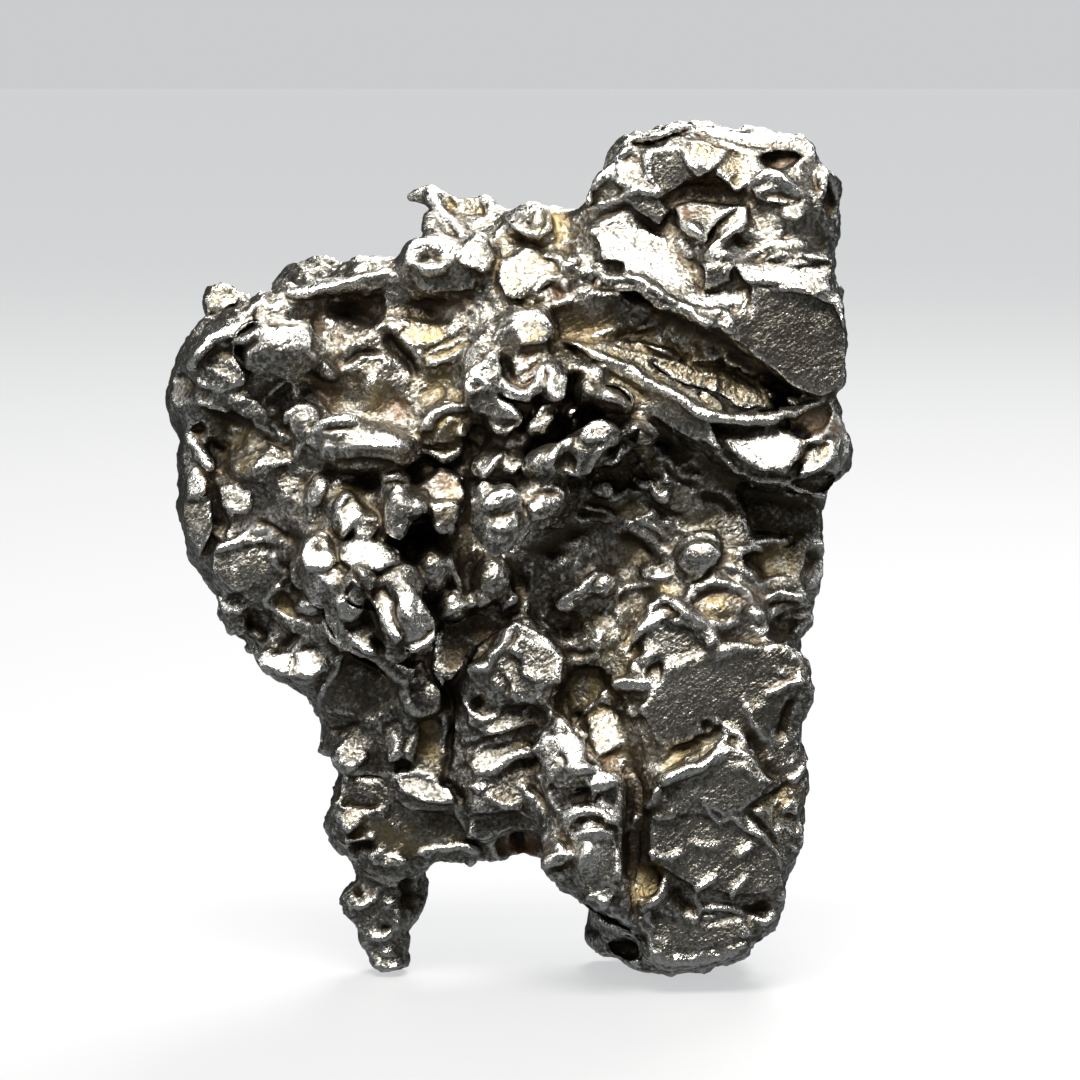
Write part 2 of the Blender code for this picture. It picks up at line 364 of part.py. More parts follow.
def add_plate(body, name, outline, front, back, lean=0.0, swing=0.0, bevel=0.0):
    """A slab with this outline in X and Z, turned about its own middle."""
    obj = curve_object(name, "2D")
    obj.data.fill_mode = "BOTH"
    obj.data.extrude = (back - front) / 2
    middle = sum((Vector(point) for point in outline), Vector((0, 0))) / len(outline)
    spline = obj.data.splines.new("POLY")
    spline.points.add(len(outline) - 1)
    spline.use_cyclic_u = True
    for point, (x, z) in zip(spline.points, outline):
        point.co = (x - middle.x, z - middle.y, 0, 1)
    turn = (Matrix.Rotation(math.radians(swing), 4, "Z")
            @ Matrix.Rotation(math.radians(-lean), 4, "X"))
    upright = Matrix.Rotation(math.radians(90), 4, "X")
    place = Matrix.Translation((middle.x, (front + back) / 2, middle.y)) @ turn @ upright
    take_curve(body, obj, place, bevel)


def add_lump(body, centre, radii, turn):
    """An ellipsoid, turned clockwise as seen from the show face."""
    place = (Matrix.Translation(centre) @ Matrix.Rotation(math.radians(turn), 4, "Y")
             @ Matrix.Diagonal((*radii, 1)))
    bmesh.ops.create_icosphere(body, subdivisions=3, radius=1, matrix=place)


def add_rod(body, name, line):
    """A round bar through the points of line, each with its radius, and with round ends."""
    obj = curve_object(name, "3D")
    obj.data.bevel_depth = 1.0
    obj.data.bevel_resolution = 3
    obj.data.use_fill_caps = True
    obj.data.resolution_u = 6
    spline = obj.data.splines.new("BEZIER")
    spline.bezier_points.add(len(line) - 1)
    for point, (place, radius) in zip(spline.bezier_points, line):
        point.co = place
        point.radius = radius
        point.handle_left_type = point.handle_right_type = "AUTO"
    take_curve(body, obj)
    for place, radius in (line[0], line[-1]):
        add_lump(body, place, (radius,) * 3, 0)


def mesh_object(name, body, collection):
    mesh = bpy.data.meshes.new(name)
    body.to_mesh(mesh)
    body.free()
    obj = bpy.data.objects.new(name, mesh)
    collection.objects.link(obj)
    return obj


def add_remesh(obj):
    remesh = obj.modifiers.new("join", "REMESH")
    remesh.mode = "VOXEL"
    remesh.voxel_size = VOXEL


def bulk(collection):
    body = bmesh.new()
    for name, plate in PLATES.items():
        add_plate(body, name, **plate)
    for lump in (*LUMPS.values(), *CRYSTALS.values()):
        add_lump(body, *lump)
    for name, line in RODS.items():
        add_rod(body, name, line)
    stone = mesh_object("iron_meteorite", body, collection)
    add_remesh(stone)
    return stone


def hollows(collection):
    body = bmesh.new()
    for pit in PITS.values():
        add_lump(body, *pit)
    for name, line in GAPS.items():
        add_rod(body, name, line)
    cutter = mesh_object("hollows", body, collection)
    add_remesh(cutter)
    cutter.hide_render = True
    cutter.display_type = "WIRE"
    return cutter


def crystal_face(point):
    """Height above the skin of the leaning crystal face that this point lies on."""
    _, cells = noise.voronoi(point / GRAIN + WAVE_SEED)
    middle = (cells[0] - WAVE_SEED) * GRAIN
    lean = noise.cell_vector(cells[0] * 7.0) * 2 - Vector((1, 1, 1))
    return max(-GRAIN_STEP, min(GRAIN_STEP, GRAIN_TILT * lean.dot(point - middle)))


def roughen(mesh):
    """Moves each point along its normal, so that no face stays machined."""
    moves = []
    for vertex in mesh.vertices:
        share = FRONT_GRAIN if vertex.normal.y < -0.1 else 1.0
        height = share * crystal_face(vertex.co) - SKIN_DROP
        for wavelength, amount in WAVES:
            height += amount * noise.noise(vertex.co / wavelength + WAVE_SEED)
        moves.append(vertex.co + vertex.normal * height)
    mesh.vertices.foreach_set("co", [value for point in moves for value in point])
    mesh.update()


def replace_mesh(obj, mesh):
    old = obj.data
    obj.modifiers.clear()
    obj.data = mesh
    mesh.name = obj.name
    bpy.data.meshes.remove(old)


def flatten_feet(mesh):
    """Cuts the feet off flat and closes them, then stands the lump on Z = 0."""
    body = bmesh.new()
    body.from_mesh(mesh)
    whole = body.verts[:] + body.edges[:] + body.faces[:]
    cut = bmesh.ops.bisect_plane(body, geom=whole, plane_co=(0, 0, GROUND_CUT),
                                 plane_no=(0, 0, -1), clear_outer=True)
    rim = [item for item in cut["geom_cut"] if isinstance(item, bmesh.types.BMEdge)]
    bmesh.ops.holes_fill(body, edges=rim)
    bmesh.ops.triangulate(body, faces=body.faces)
    body.to_mesh(mesh)
    body.free()


def centre_on_origin(mesh):
    """Puts the middle of the bounding box's bottom at the origin, in metres."""
    low = [min(vertex.co[axis] for vertex in mesh.vertices) for axis in range(3)]
    high = [max(vertex.co[axis] for vertex in mesh.vertices) for axis in range(3)]
    middle = Vector(((low[0] + high[0]) / 2, (low[1] + high[1]) / 2, low[2]))
    mesh.transform(Matrix.Scale(MM, 4) @ Matrix.Translation(-middle))


def iron():
    material = bpy.data.materials.new("iron")
    material.use_nodes = True
    shader = material.node_tree.nodes["Principled BSDF"]
    shader.inputs["Base Color"].default_value = (0.36, 0.34, 0.31, 1)
    shader.inputs["Metallic"].default_value = 1.0
    shader.inputs["Roughness"].default_value = 0.32
    return material


def main():
    for obj in list(bpy.data.objects):
        bpy.data.objects.remove(obj)
    collection = bpy.data.collections.new("iron_meteorite")
    helpers = bpy.data.collections.new("cutters")
    bpy.context.scene.collection.children.link(collection)
    bpy.context.scene.collection.children.link(helpers)

    stone = bulk(collection)
    cutter = hollows(helpers)
    cut = stone.modifiers.new("hollows", "BOOLEAN")
    cut.operation = "DIFFERENCE"
    cut.object = cutter
    replace_mesh(stone, evaluated_copy(stone))

    add_remesh(stone)
    smooth = stone.modifiers.new("soften", "SMOOTH")
    smooth.factor = 0.5
    smooth.iterations = SMOOTH_ROUNDS
    replace_mesh(stone, evaluated_copy(stone))
    roughen(stone.data)

    thin = stone.modifiers.new("thin", "DECIMATE")
    stone.data.calc_loop_triangles()
    thin.ratio = TARGET_TRIANGLES / len(stone.data.loop_triangles)
    thin.use_collapse_triangulate = True
    replace_mesh(stone, evaluated_copy(stone))

    flatten_feet(stone.data)
    centre_on_origin(stone.data)
    stone.data.materials.append(iron())
    stone.data.shade_smooth()


main()
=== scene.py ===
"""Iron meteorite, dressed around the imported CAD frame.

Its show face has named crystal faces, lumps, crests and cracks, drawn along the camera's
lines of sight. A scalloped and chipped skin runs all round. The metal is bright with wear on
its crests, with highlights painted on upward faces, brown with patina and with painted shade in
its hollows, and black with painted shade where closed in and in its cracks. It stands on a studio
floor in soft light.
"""
import math

import bmesh
import bpy
import numpy as np
from mathutils import Matrix, Vector
from mathutils.bvhtree import BVHTree
from mathutils.kdtree import KDTree

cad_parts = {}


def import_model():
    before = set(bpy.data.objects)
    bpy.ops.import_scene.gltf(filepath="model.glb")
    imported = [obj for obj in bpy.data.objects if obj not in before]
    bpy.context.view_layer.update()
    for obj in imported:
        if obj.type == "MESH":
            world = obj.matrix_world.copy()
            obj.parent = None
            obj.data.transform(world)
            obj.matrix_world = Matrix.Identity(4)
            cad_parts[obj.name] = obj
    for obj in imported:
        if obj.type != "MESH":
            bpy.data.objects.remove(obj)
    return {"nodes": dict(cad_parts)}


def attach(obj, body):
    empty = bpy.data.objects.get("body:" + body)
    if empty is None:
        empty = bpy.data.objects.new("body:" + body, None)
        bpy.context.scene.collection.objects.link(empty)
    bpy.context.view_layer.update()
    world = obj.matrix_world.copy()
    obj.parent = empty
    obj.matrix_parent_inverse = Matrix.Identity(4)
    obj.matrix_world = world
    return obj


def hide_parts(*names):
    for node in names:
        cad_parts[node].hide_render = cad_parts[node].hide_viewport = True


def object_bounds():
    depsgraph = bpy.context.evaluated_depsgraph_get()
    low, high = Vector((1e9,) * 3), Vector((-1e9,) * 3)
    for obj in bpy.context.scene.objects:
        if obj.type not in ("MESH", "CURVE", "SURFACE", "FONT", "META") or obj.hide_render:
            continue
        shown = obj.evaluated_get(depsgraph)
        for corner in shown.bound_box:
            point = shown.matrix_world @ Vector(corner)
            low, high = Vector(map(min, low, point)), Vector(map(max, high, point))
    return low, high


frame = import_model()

NODE = "iron_meteorite"
cad_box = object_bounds()

# Shapes are worked in millimetres, in the frame of the CAD, and go back to metres at the end.
MM = 0.001

# The camera: a pinhole that sees 20 pixels a millimetre at its target, in a square view.
VIEW = 1080
PX_PER_MM = 20.0
CAMERA_TARGET = (1.65, 2.05, 21.65)
CAMERA_DISTANCE = 250.0
CAMERA_PITCH = math.radians(6.0)
FOCAL_PX = PX_PER_MM * CAMERA_DISTANCE
SENSOR = 36.0
LENS = SENSOR * FOCAL_PX / VIEW

# The mesh, in mm where it is a size.
PLATE_VOXEL = 0.22      # cells of the mesh that the faces and lumps shape
RELIEF_VOXEL = 0.12     # cells of the mesh that the relief shapes
MELT_ROUNDS = 30        # rounds of fairing, which melt the CAD's flat triangles away
LUMP_SOFTNESS = 3       # rounds of smoothing where a lump meets the surface
MOST_TRIANGLES = 194000
KEEP_STEPS = 8          # levels of the weights that tell the thinning what to keep
KEEP_FACTOR = 0.03      # how much those weights count
FRONT_KEEP = 0.75       # how much less the show face is thinned than the rest
BOX_REACH = 2.5         # how far in from the sides of the CAD's box the drawing in reaches

# What the camera sees of a point, which is how far the named features shape it.
SEEN_DEPTH = 0.7        # how far behind the front-most surface a seen point may lie, in mm
GRAZING = (0.05, 0.45)  # how far it has to face the camera to count at all, and in full
SEEN_FULL = 1.2         # how soon a seen point has the show face's skin
SEEN_ROUNDS = 3         # rounds of smoothing of the weight that this gives
LEAST_SEEN = 0.02       # a point with less of it isn't pressed

# Strokes and spots on the view. Their lines wander a little: (grid step, reach), in pixels.
WANDERS = ((14, 1.3), (5, 0.65))
COLUMN_SEED, ROW_SEED = 5, 7
CREST, CREST_SHARE = 0.8, 0.6   # a stroke's crest, as a share of its half width and height
SKIRT = 1.6                     # and the wider skirt that the crest stands on
RIDGE_FALL, GROOVE_FALL = 1.4, 1.8      # how steeply that skirt falls away
TAPER_SPAN, TAPER_END = 0.16, 0.35      # where a stroke starts to taper, and to what share
SPOT_FALL = 0.9         # how fast a spot fades towards the edge of its ellipse
ROUND, STAIN_EDGE, PATCH_EDGE = 2.0, 3.0, 4.0   # how sharp that edge is
STROKE_REACH, SPOT_REACH = 4.0, 1.8     # how far strokes and spots are drawn, in half widths

# Named faces.
FEATHER = 1.6           # the blend at their edges, in pixels
FACE_MARGIN = 4         # how far round a face points are looked at, in pixels
FEWEST_POINTS = 8       # a face with fewer points than this is hidden, and is left out
MOST_PRESS = 1.1        # the furthest that a point is pressed, in mm
FACE_STRENGTH = 0.85    # how much of the way to its plane a face goes
PRESSED_FULL = 0.6      # the weight from which a point is pressed in full

# Lumps.
LUMP_SINK = 0.45        # how deep their middle lies, as a share of their depth
LUMP_DETAIL = 4         # subdivisions of their spheres

# How much of the natural relief is left out on domes, and on lumps and calm parts.
DOME_CALM = 0.7
LUMP_CALM = 0.85

# Scallops and flakes left by melting and rust, in mm: (cell size, then its depth on the sides
# and back, between the named faces, and on them).
SCALLOPS = ((2.3, 0.46, 0.12, 0.03), (1.15, 0.26, 0.16, 0.03), (0.55, 0.08, 0.10, 0.025))
CHIPS = ((1.5, 0.22, 0.14, 0.03), (0.8, 0.17, 0.15, 0.03), (0.42, 0.07, 0.09, 0.025))
SCALLOP_SEED, CHIP_SEED, GRIT_SEED, PATCH_SEED, SKY_SEED = 40, 90, 130, 150, 3
SEED_STEP = 7
JITTER = 0.46           # how far a cell's seed strays, as a share of its size
SCALLOP_WARP = (0.3, 1.3)       # how far a scallop's edge strays, and the grain of that
BOWL_SPAN = 0.75        # where a scallop's bottom begins, as a share of its size
BOWL_DEPTHS = (0.3, 1.0)        # the share of its depth that each scallop has
CHIP_STEPS = (-0.4, 0.4)        # how far a flake stands back or out, as a share of its size
RIM_SPAN = 0.2          # how wide the worn crest between two scallops is, likewise
GRIT, GRIT_GRAIN = 0.022, 0.3   # the height of the finest unevenness, and its grain
PATCH_MEAN, PATCH_SWING, PATCH_GRAIN = 0.6, 0.4, 4.0    # the skin is rougher in patches
EDGE_SOFTNESS = 0.35    # how much the last smoothing takes off sharp edges

# What the material reads from the shape, in mm where it is a size.
FULL_CREST = 0.26       # the height of a crest that is worn bright all over
FULL_CRACK = 0.4        # the depth of a crack that is painted black with shade all over
RIM_SHARE = 0.3         # how much brightness natural crests keep between the named faces
HOLLOW_ROUNDS = (3, 14)         # rounds of smoothing that find fine and middling hollows
HOLLOW_SHARE = 0.6      # how far each round goes
HOLLOW_SPAN = np.array((0.12, 0.4))     # the span of depths that the attribute holds
SKY_RAYS, SKY_REACH = 14, 4.0   # rays that tell how open a point is, and how far they go
SKY_START, SKY_LIFT = 0.08, 1.05        # how far off the surface they start and lean

# FACES: flat crystal faces, as (lean up and swing right in degrees, lift towards the camera in
# mm, corners in view pixels).
FACES = {
    # Crown
    "crown top band": (38, 0, 0.1, (655, 137), (690, 126), (735, 128), (800, 136), (816, 150),
        (795, 150), (745, 148), (720, 138), (690, 133), (655, 144)),
    "crown left band": (36, -15, 0.1, (600, 176), (620, 158), (632, 142), (655, 137), (655, 144),
        (636, 150), (624, 168), (605, 186), (588, 206), (583, 200)),
    "crown flat": (-2, 0, 0.0, (648, 150), (679, 145), (683, 184), (668, 196), (652, 188),
        (645, 168)),
    "crown dark corner": (-4, -10, -0.1, (622, 148), (645, 147), (645, 161), (620, 163)),
    "crown small bright": (30, -8, 0.0, (618, 163), (643, 162), (645, 184), (614, 183)),
    "crown low left": (2, -25, 0.0, (590, 192), (610, 178), (622, 190), (592, 204)),
    "crown grey lump": (6, 10, 0.15, (626, 200), (650, 196), (669, 210), (660, 224), (632, 212)),
    "crown gold crystal": (22, 10, 0.1, (689, 141), (716, 141), (716, 152), (703, 166),
        (693, 156)),
    "crown pale crystal": (26, 12, 0.2, (722, 152), (744, 160), (748, 186), (736, 196),
        (716, 174)),
    "crown fin": (25, -18, 0.25, (714, 226), (735, 204), (748, 205), (748, 221), (722, 242),
        (708, 258), (705, 246)),
    "crown dark wedge": (-4, 0, 0.0, (737, 240), (752, 227), (776, 242), (750, 249)),
    "crown brow": (3, 5, 0.2, (754, 190), (775, 186), (797, 193), (798, 206), (758, 201)),
    "crown right patch": (32, 0, 0.15, (783, 206), (801, 200), (806, 214), (798, 221), (781, 217)),
    "crown pale side": (16, 28, 0.0, (796, 160), (814, 152), (820, 190), (800, 186)),
    "crown brown recess": (-6, -5, -0.5, (762, 155), (790, 150), (800, 158), (781, 171),
        (765, 166)),
    "crown lower band": (31, 4, 0.1, (733, 265), (760, 262), (800, 266), (831, 262), (829, 288),
        (815, 297), (790, 283), (745, 284)),
    "crown dark arch": (-5, 5, 0.0, (764, 260), (780, 250), (800, 252), (812, 264), (790, 262)),
    "crown skirt": (-2, 6, 0.0, (752, 287), (815, 297), (834, 306), (846, 335), (846, 390),
        (815, 398), (788, 384), (752, 350), (732, 326), (745, 300)),
    "shelf": (32, 6, 0.0, (590, 231), (615, 222), (640, 231), (672, 240), (683, 255), (695, 262),
        (692, 276), (689, 290), (706, 297), (742, 289), (742, 303), (708, 311), (680, 303),
        (660, 287), (640, 274), (628, 276), (624, 262), (603, 262), (599, 245)),
    "shelf block": (-6, 0, 0.35, (701, 263), (733, 265), (731, 280), (704, 290)),
    "brown wall": (-9, -8, -0.2, (558, 303), (580, 298), (600, 290), (640, 292), (656, 309),
        (642, 322), (600, 331), (558, 338)),
    "lip": (2, -12, 0.1, (603, 280), (638, 279), (660, 300), (690, 309), (712, 322), (706, 328),
        (680, 317), (655, 309), (636, 290)),
    # Ledge and its floor
    "ledge floor": (35, 20, 0.0, (562, 340), (640, 342), (680, 362), (720, 362), (760, 385),
        (780, 412), (720, 412), (690, 400), (640, 376), (600, 360)),
    "ledge face": (-3, -6, 0.0, (600, 362), (640, 382), (680, 402), (708, 420), (722, 452),
        (700, 446), (640, 410), (605, 385)),
    "ledge panel": (29, -4, 0.15, (708, 420), (745, 423), (784, 420), (800, 438), (798, 458),
        (782, 474), (758, 470), (730, 452)),
    "ledge low dark": (-6, -12, 0.0, (700, 442), (730, 454), (758, 472), (790, 478), (784, 488),
        (750, 480), (715, 458)),
    "ledge ring patch": (26, 10, 0.1, (800, 470), (810, 448), (828, 436), (840, 440), (836, 458),
        (820, 472), (800, 481)),
    "ledge end recess": (-4, 20, -0.5, (790, 420), (826, 402), (832, 415), (822, 430), (800, 434)),
    "ledge underside": (-14, 8, 0.0, (785, 483), (826, 472), (842, 470), (838, 498), (815, 497)),
    "ledge top right": (30, 10, 0.1, (784, 395), (822, 396), (818, 406), (792, 412)),
    # Left shoulder
    "knob behind": (34, -15, 0.0, (198, 300), (210, 290), (240, 297), (236, 306), (215, 312),
        (203, 318)),
    "shoulder rim": (36, -14, 0.1, (195, 356), (205, 342), (230, 328), (252, 318), (256, 328),
        (240, 336), (215, 344), (202, 356)),
    "shoulder rim bumps": (32, 0, 0.0, (250, 303), (292, 299), (292, 312), (276, 318), (258, 314)),
    "shoulder slab": (4, -18, 0.0, (196, 362), (215, 345), (245, 352), (246, 385), (222, 392),
        (198, 386)),
    "left edge band": (22, -35, 0.0, (168, 380), (185, 372), (194, 384), (186, 405), (172, 412)),
    "low shoulder lip": (28, -6, 0.1, (196, 400), (230, 408), (226, 415), (200, 408)),
    "left rim low": (28, -25, 0.1, (186, 432), (200, 426), (206, 446), (214, 460), (212, 472),
        (194, 458)),
    "pale triangle": (26, 14, 0.1, (272, 444), (288, 442), (294, 462), (270, 466), (252, 470)),
    "grey dome": (18, -4, 0.15, (286, 418), (300, 405), (316, 412), (316, 426), (300, 432)),
    # Top and its knobs
    "hook slope": (30, 10, 0.0, (424, 193), (438, 190), (440, 210), (456, 224), (460, 238),
        (444, 232), (432, 212)),
    "hook gold slope": (20, 20, 0.0, (450, 196), (480, 198), (486, 214), (465, 216)),
    "ring knob left": (33, -12, 0.15, (404, 256), (414, 245), (432, 242), (440, 250), (424, 254),
        (408, 266)),
    "ring knob low": (20, 0, 0.1, (410, 262), (450, 262), (446, 271), (424, 271)),
    "ring knob right": (30, 10, 0.2, (458, 262), (470, 244), (488, 240), (496, 256), (484, 274),
        (468, 268)),
    "knob underside": (-12, 0, 0.0, (412, 274), (450, 276), (478, 276), (474, 292), (440, 294),
        (418, 288)),
    "plateau": (30, 4, 0.0, (500, 262), (520, 250), (556, 262), (560, 272), (540, 282), (520, 300),
        (505, 296), (496, 280)),
    "slab": (8, -8, 0.15, (382, 282), (400, 280), (415, 300), (402, 312), (384, 312)),
    "gold crystals": (26, -8, 0.0, (398, 334), (410, 322), (440, 326), (442, 342), (420, 348)),
    "bars": (18, -14, 0.0, (424, 350), (462, 334), (474, 342), (452, 362), (424, 366)),
    "crystal head": (24, 8, 0.3, (510, 322), (545, 316), (556, 330), (548, 344), (522, 346)),
    "crystal head side": (-6, -20, 0.1, (494, 345), (512, 326), (520, 346), (516, 362),
        (502, 356)),
    "crystal stripes": (4, 6, 0.0, (512, 360), (540, 354), (538, 384), (518, 386)),
    # Centre
    "crystal left bright": (30, -12, 0.3, (466, 378), (482, 366), (494, 352), (500, 362),
        (500, 376), (484, 380), (478, 394), (468, 398)),
    "crystal u": (30, 0, 0.3, (494, 376), (508, 382), (524, 390), (540, 378), (545, 362),
        (550, 376), (538, 398), (516, 400), (500, 390)),
    "crystal right dome": (20, 20, 0.2, (546, 392), (552, 374), (562, 376), (564, 394),
        (556, 399)),
    "crystal low left": (4, -14, 0.1, (466, 396), (490, 390), (512, 410), (520, 420), (498, 418),
        (474, 408)),
    "crystal spike": (26, 4, 0.2, (492, 424), (520, 421), (506, 437)),
    "crystal low lobe": (22, 12, 0.1, (528, 420), (536, 398), (556, 400), (556, 418), (545, 434),
        (530, 430)),
    "pale crystal edge": (30, -10, 0.2, (420, 432), (430, 418), (446, 408), (462, 404), (460, 410),
        (444, 416), (432, 430)),
    "pale crystal right": (22, 16, 0.1, (458, 414), (470, 412), (476, 424), (466, 438),
        (458, 436)),
    "pale crystal foot": (22, -2, 0.1, (422, 446), (438, 444), (444, 450), (460, 444), (458, 452),
        (444, 459)),
    "pale crystal inner": (-4, 8, -0.1, (434, 432), (446, 418), (458, 424), (452, 442),
        (438, 442)),
    "brow knob left": (28, -8, 0.2, (472, 462), (492, 456), (506, 450), (500, 464), (486, 476)),
    "brow knob right": (30, 8, 0.2, (504, 464), (524, 458), (526, 466), (514, 474), (504, 472)),
    "spike head": (33, 0, 0.3, (486, 504), (494, 494), (518, 493), (520, 500), (506, 506),
        (490, 510)),
    "spike shoulder": (6, 16, 0.2, (526, 500), (560, 486), (566, 494), (548, 520), (530, 522)),
    "tongue bright": (33, 0, 0.2, (580, 436), (592, 424), (606, 424), (616, 432), (606, 440),
        (586, 444)),
    "tongue edge": (30, -18, 0.2, (551, 462), (560, 446), (572, 436), (574, 444), (562, 458)),
    "tongue dark": (-4, -6, 0.1, (556, 462), (576, 446), (582, 464), (576, 478), (562, 472)),
    "tongue right": (6, 22, 0.1, (604, 462), (624, 438), (638, 430), (634, 446), (612, 470)),
    "prong head": (32, 0, 0.3, (404, 510), (410, 502), (422, 504), (425, 514), (408, 516)),
    "wedge": (0, 6, 0.1, (430, 504), (455, 500), (460, 508), (450, 530), (438, 532)),
    "wedge top": (24, 0, 0.0, (424, 486), (440, 466), (462, 478), (462, 498), (430, 500)),
    "cross bar": (30, -14, 0.25, (558, 604), (570, 594), (584, 590), (598, 570), (602, 574),
        (592, 590), (574, 602), (562, 612)),
    # Right flank
    "flank dome": (2, -6, 0.2, (678, 562), (690, 550), (712, 544), (720, 556), (714, 566),
        (690, 574)),
    "pocket floor": (14, 6, -0.2, (748, 556), (800, 540), (808, 562), (800, 578), (760, 576)),
    "star bright": (30, 0, 0.2, (634, 478), (642, 484), (664, 482), (678, 480), (668, 492),
        (662, 500), (652, 492), (640, 488)),
    "bright triangle": (30, 5, 0.1, (663, 432), (682, 446), (670, 450)),
    "pit island": (24, 0, 0.3, (702, 606), (716, 598), (732, 606), (724, 618), (706, 616)),
    "facet corner": (33, -4, 0.15, (646, 620), (654, 604), (670, 600), (682, 612), (676, 618),
        (662, 616), (650, 632), (636, 640)),
    "facet top edge": (30, 10, 0.1, (700, 626), (714, 624), (718, 640), (706, 646)),
    "under ledge wall": (-10, 0, -0.4, (742, 488), (800, 494), (822, 510), (820, 532), (752, 534)),
    # Left side, lower
    "left band top": (28, -30, 0.1, (186, 474), (206, 476), (206, 494), (188, 496)),
    "left band low": (2, -28, 0.0, (183, 500), (212, 500), (216, 530), (200, 556), (186, 532)),
    "left dark plate": (0, 4, -0.1, (214, 552), (245, 542), (272, 545), (268, 585), (232, 590),
        (212, 572)),
    "left ledge": (34, -8, 0.1, (214, 551), (240, 539), (246, 532), (266, 532), (271, 540),
        (244, 544), (224, 552)),
    "left round": (8, -8, 0.1, (220, 485), (248, 484), (252, 505), (232, 516), (220, 505)),
    "left knob": (30, -14, 0.2, (218, 598), (238, 592), (250, 606), (238, 614), (222, 612)),
    "left bright foot": (30, -6, 0.1, (262, 655), (275, 645), (290, 655), (304, 645), (316, 646),
        (330, 668), (312, 676), (290, 678), (270, 668)),
    "boulder upper": (31, -6, 0.2, (302, 552), (312, 542), (330, 550), (338, 562), (328, 570),
        (304, 568)),
    "boulder crescent": (28, 16, 0.15, (322, 578), (338, 572), (342, 582), (330, 590)),
    "boulder low": (-6, -8, 0.1, (300, 572), (318, 574), (318, 594), (304, 596)),
    "lens chip": (0, 8, 0.0, (308, 505), (320, 502), (326, 515), (318, 527), (308, 520)),
    "crystal left top": (30, 0, 0.2, (338, 510), (352, 496), (364, 505), (352, 524), (342, 536)),
    "crystal left right": (28, 14, 0.2, (356, 522), (374, 514), (380, 528), (370, 540),
        (356, 538)),
    "shoulder lobe": (31, 4, 0.2, (350, 546), (378, 542), (400, 548), (402, 562), (378, 572),
        (356, 566)),
    "lobe one": (24, -10, 0.25, (336, 600), (350, 584), (362, 592), (366, 612), (352, 622),
        (340, 618)),
    "lobe one low": (28, 0, 0.2, (344, 624), (364, 618), (378, 648), (372, 655), (352, 640)),
    "lobe two": (24, -14, 0.25, (372, 592), (386, 586), (394, 612), (404, 640), (394, 648),
        (380, 620)),
    "lobe three": (26, 8, 0.25, (392, 582), (408, 580), (414, 600), (412, 624), (402, 616)),
    "lobe three foot": (30, 10, 0.25, (402, 648), (418, 640), (432, 628), (434, 638), (418, 652),
        (406, 656)),
    "brown slope": (-6, -12, -0.2, (340, 660), (358, 654), (385, 672), (400, 700), (370, 716),
        (326, 712), (322, 690)),
    # Lower middle
    "middle knob": (6, 0, 0.1, (408, 686), (428, 680), (440, 690), (440, 712), (422, 718),
        (410, 704)),
    "middle crystal": (8, 4, 0.2, (520, 634), (545, 646), (560, 655), (556, 680), (535, 690),
        (520, 662), (508, 652)),
    "middle crystal slit": (32, 6, 0.2, (520, 664), (532, 670), (541, 676), (538, 683),
        (524, 676)),
    "middle low plate": (14, 0, 0.1, (466, 700), (498, 716), (530, 700), (545, 722), (500, 738),
        (468, 724)),
    "plate bright": (24, -4, 0.15, (468, 764), (486, 748), (520, 738), (534, 750), (508, 760),
        (492, 770), (474, 776)),
    "plate grey": (6, 4, 0.1, (470, 784), (500, 772), (520, 762), (534, 790), (520, 812),
        (486, 806)),
    "plate low": (2, -4, 0.0, (470, 815), (520, 812), (534, 825), (500, 834), (484, 842),
        (470, 835)),
    "bright lump": (30, -4, 0.15, (336, 748), (350, 734), (364, 742), (368, 758), (352, 768),
        (340, 762)),
    "flank panel": (0, -6, 0.1, (342, 775), (384, 778), (390, 795), (380, 806), (344, 804),
        (338, 790)),
    "bright slab": (30, 2, 0.2, (398, 778), (414, 774), (436, 780), (456, 798), (452, 804),
        (420, 802), (400, 790)),
    "dark slope": (-8, 4, -0.1, (395, 800), (420, 812), (455, 815), (468, 838), (430, 842),
        (405, 830), (385, 815)),
    "lower left lump": (22, -10, 0.15, (342, 812), (356, 808), (362, 822), (350, 834), (342, 830)),
    "foot shelf": (30, 0, 0.2, (344, 840), (370, 837), (372, 842), (350, 846)),
    "arch brow": (28, 0, 0.1, (368, 856), (392, 850), (408, 860), (398, 868), (374, 864)),
    "arch lip": (20, 0, 0.2, (416, 853), (440, 844), (478, 845), (480, 852), (450, 850),
        (424, 858)),
    "ribs left": (16, -16, 0.1, (386, 722), (400, 718), (404, 740), (400, 762), (388, 762)),
    "ribs right": (22, -4, 0.15, (404, 742), (414, 732), (420, 745), (412, 762), (404, 760)),
    "gold alcove": (4, 10, -0.1, (420, 722), (440, 720), (442, 768), (424, 770)),
    # Blade
    "blade head": (10, -18, 0.2, (548, 745), (560, 728), (568, 742), (560, 770), (545, 790)),
    "blade bright": (30, 8, 0.3, (560, 745), (568, 735), (590, 768), (580, 776), (564, 768)),
    "blade hook": (31, 0, 0.3, (572, 774), (592, 768), (614, 780), (612, 786), (596, 782),
        (594, 798), (588, 788)),
    "blade middle": (-4, 0, 0.1, (568, 784), (584, 780), (590, 792), (574, 796)),
    "blade lower arc": (30, 0, 0.3, (568, 820), (576, 812), (600, 808), (614, 822), (606, 822),
        (592, 816), (578, 820)),
    "blade lens": (-8, 0, -0.2, (570, 826), (580, 818), (600, 818), (606, 828), (584, 830)),
    "blade column": (4, 10, 0.2, (592, 842), (616, 840), (620, 880), (600, 884), (594, 862)),
    "blade edge": (0, 14, 0.2, (598, 786), (614, 784), (619, 800), (618, 812), (600, 806)),
    "blade foot": (30, 8, 0.3, (588, 898), (598, 890), (612, 886), (618, 894), (606, 902)),
    "blade x": (28, 0, 0.2, (554, 848), (566, 842), (574, 854), (562, 866), (544, 868),
        (552, 860)),
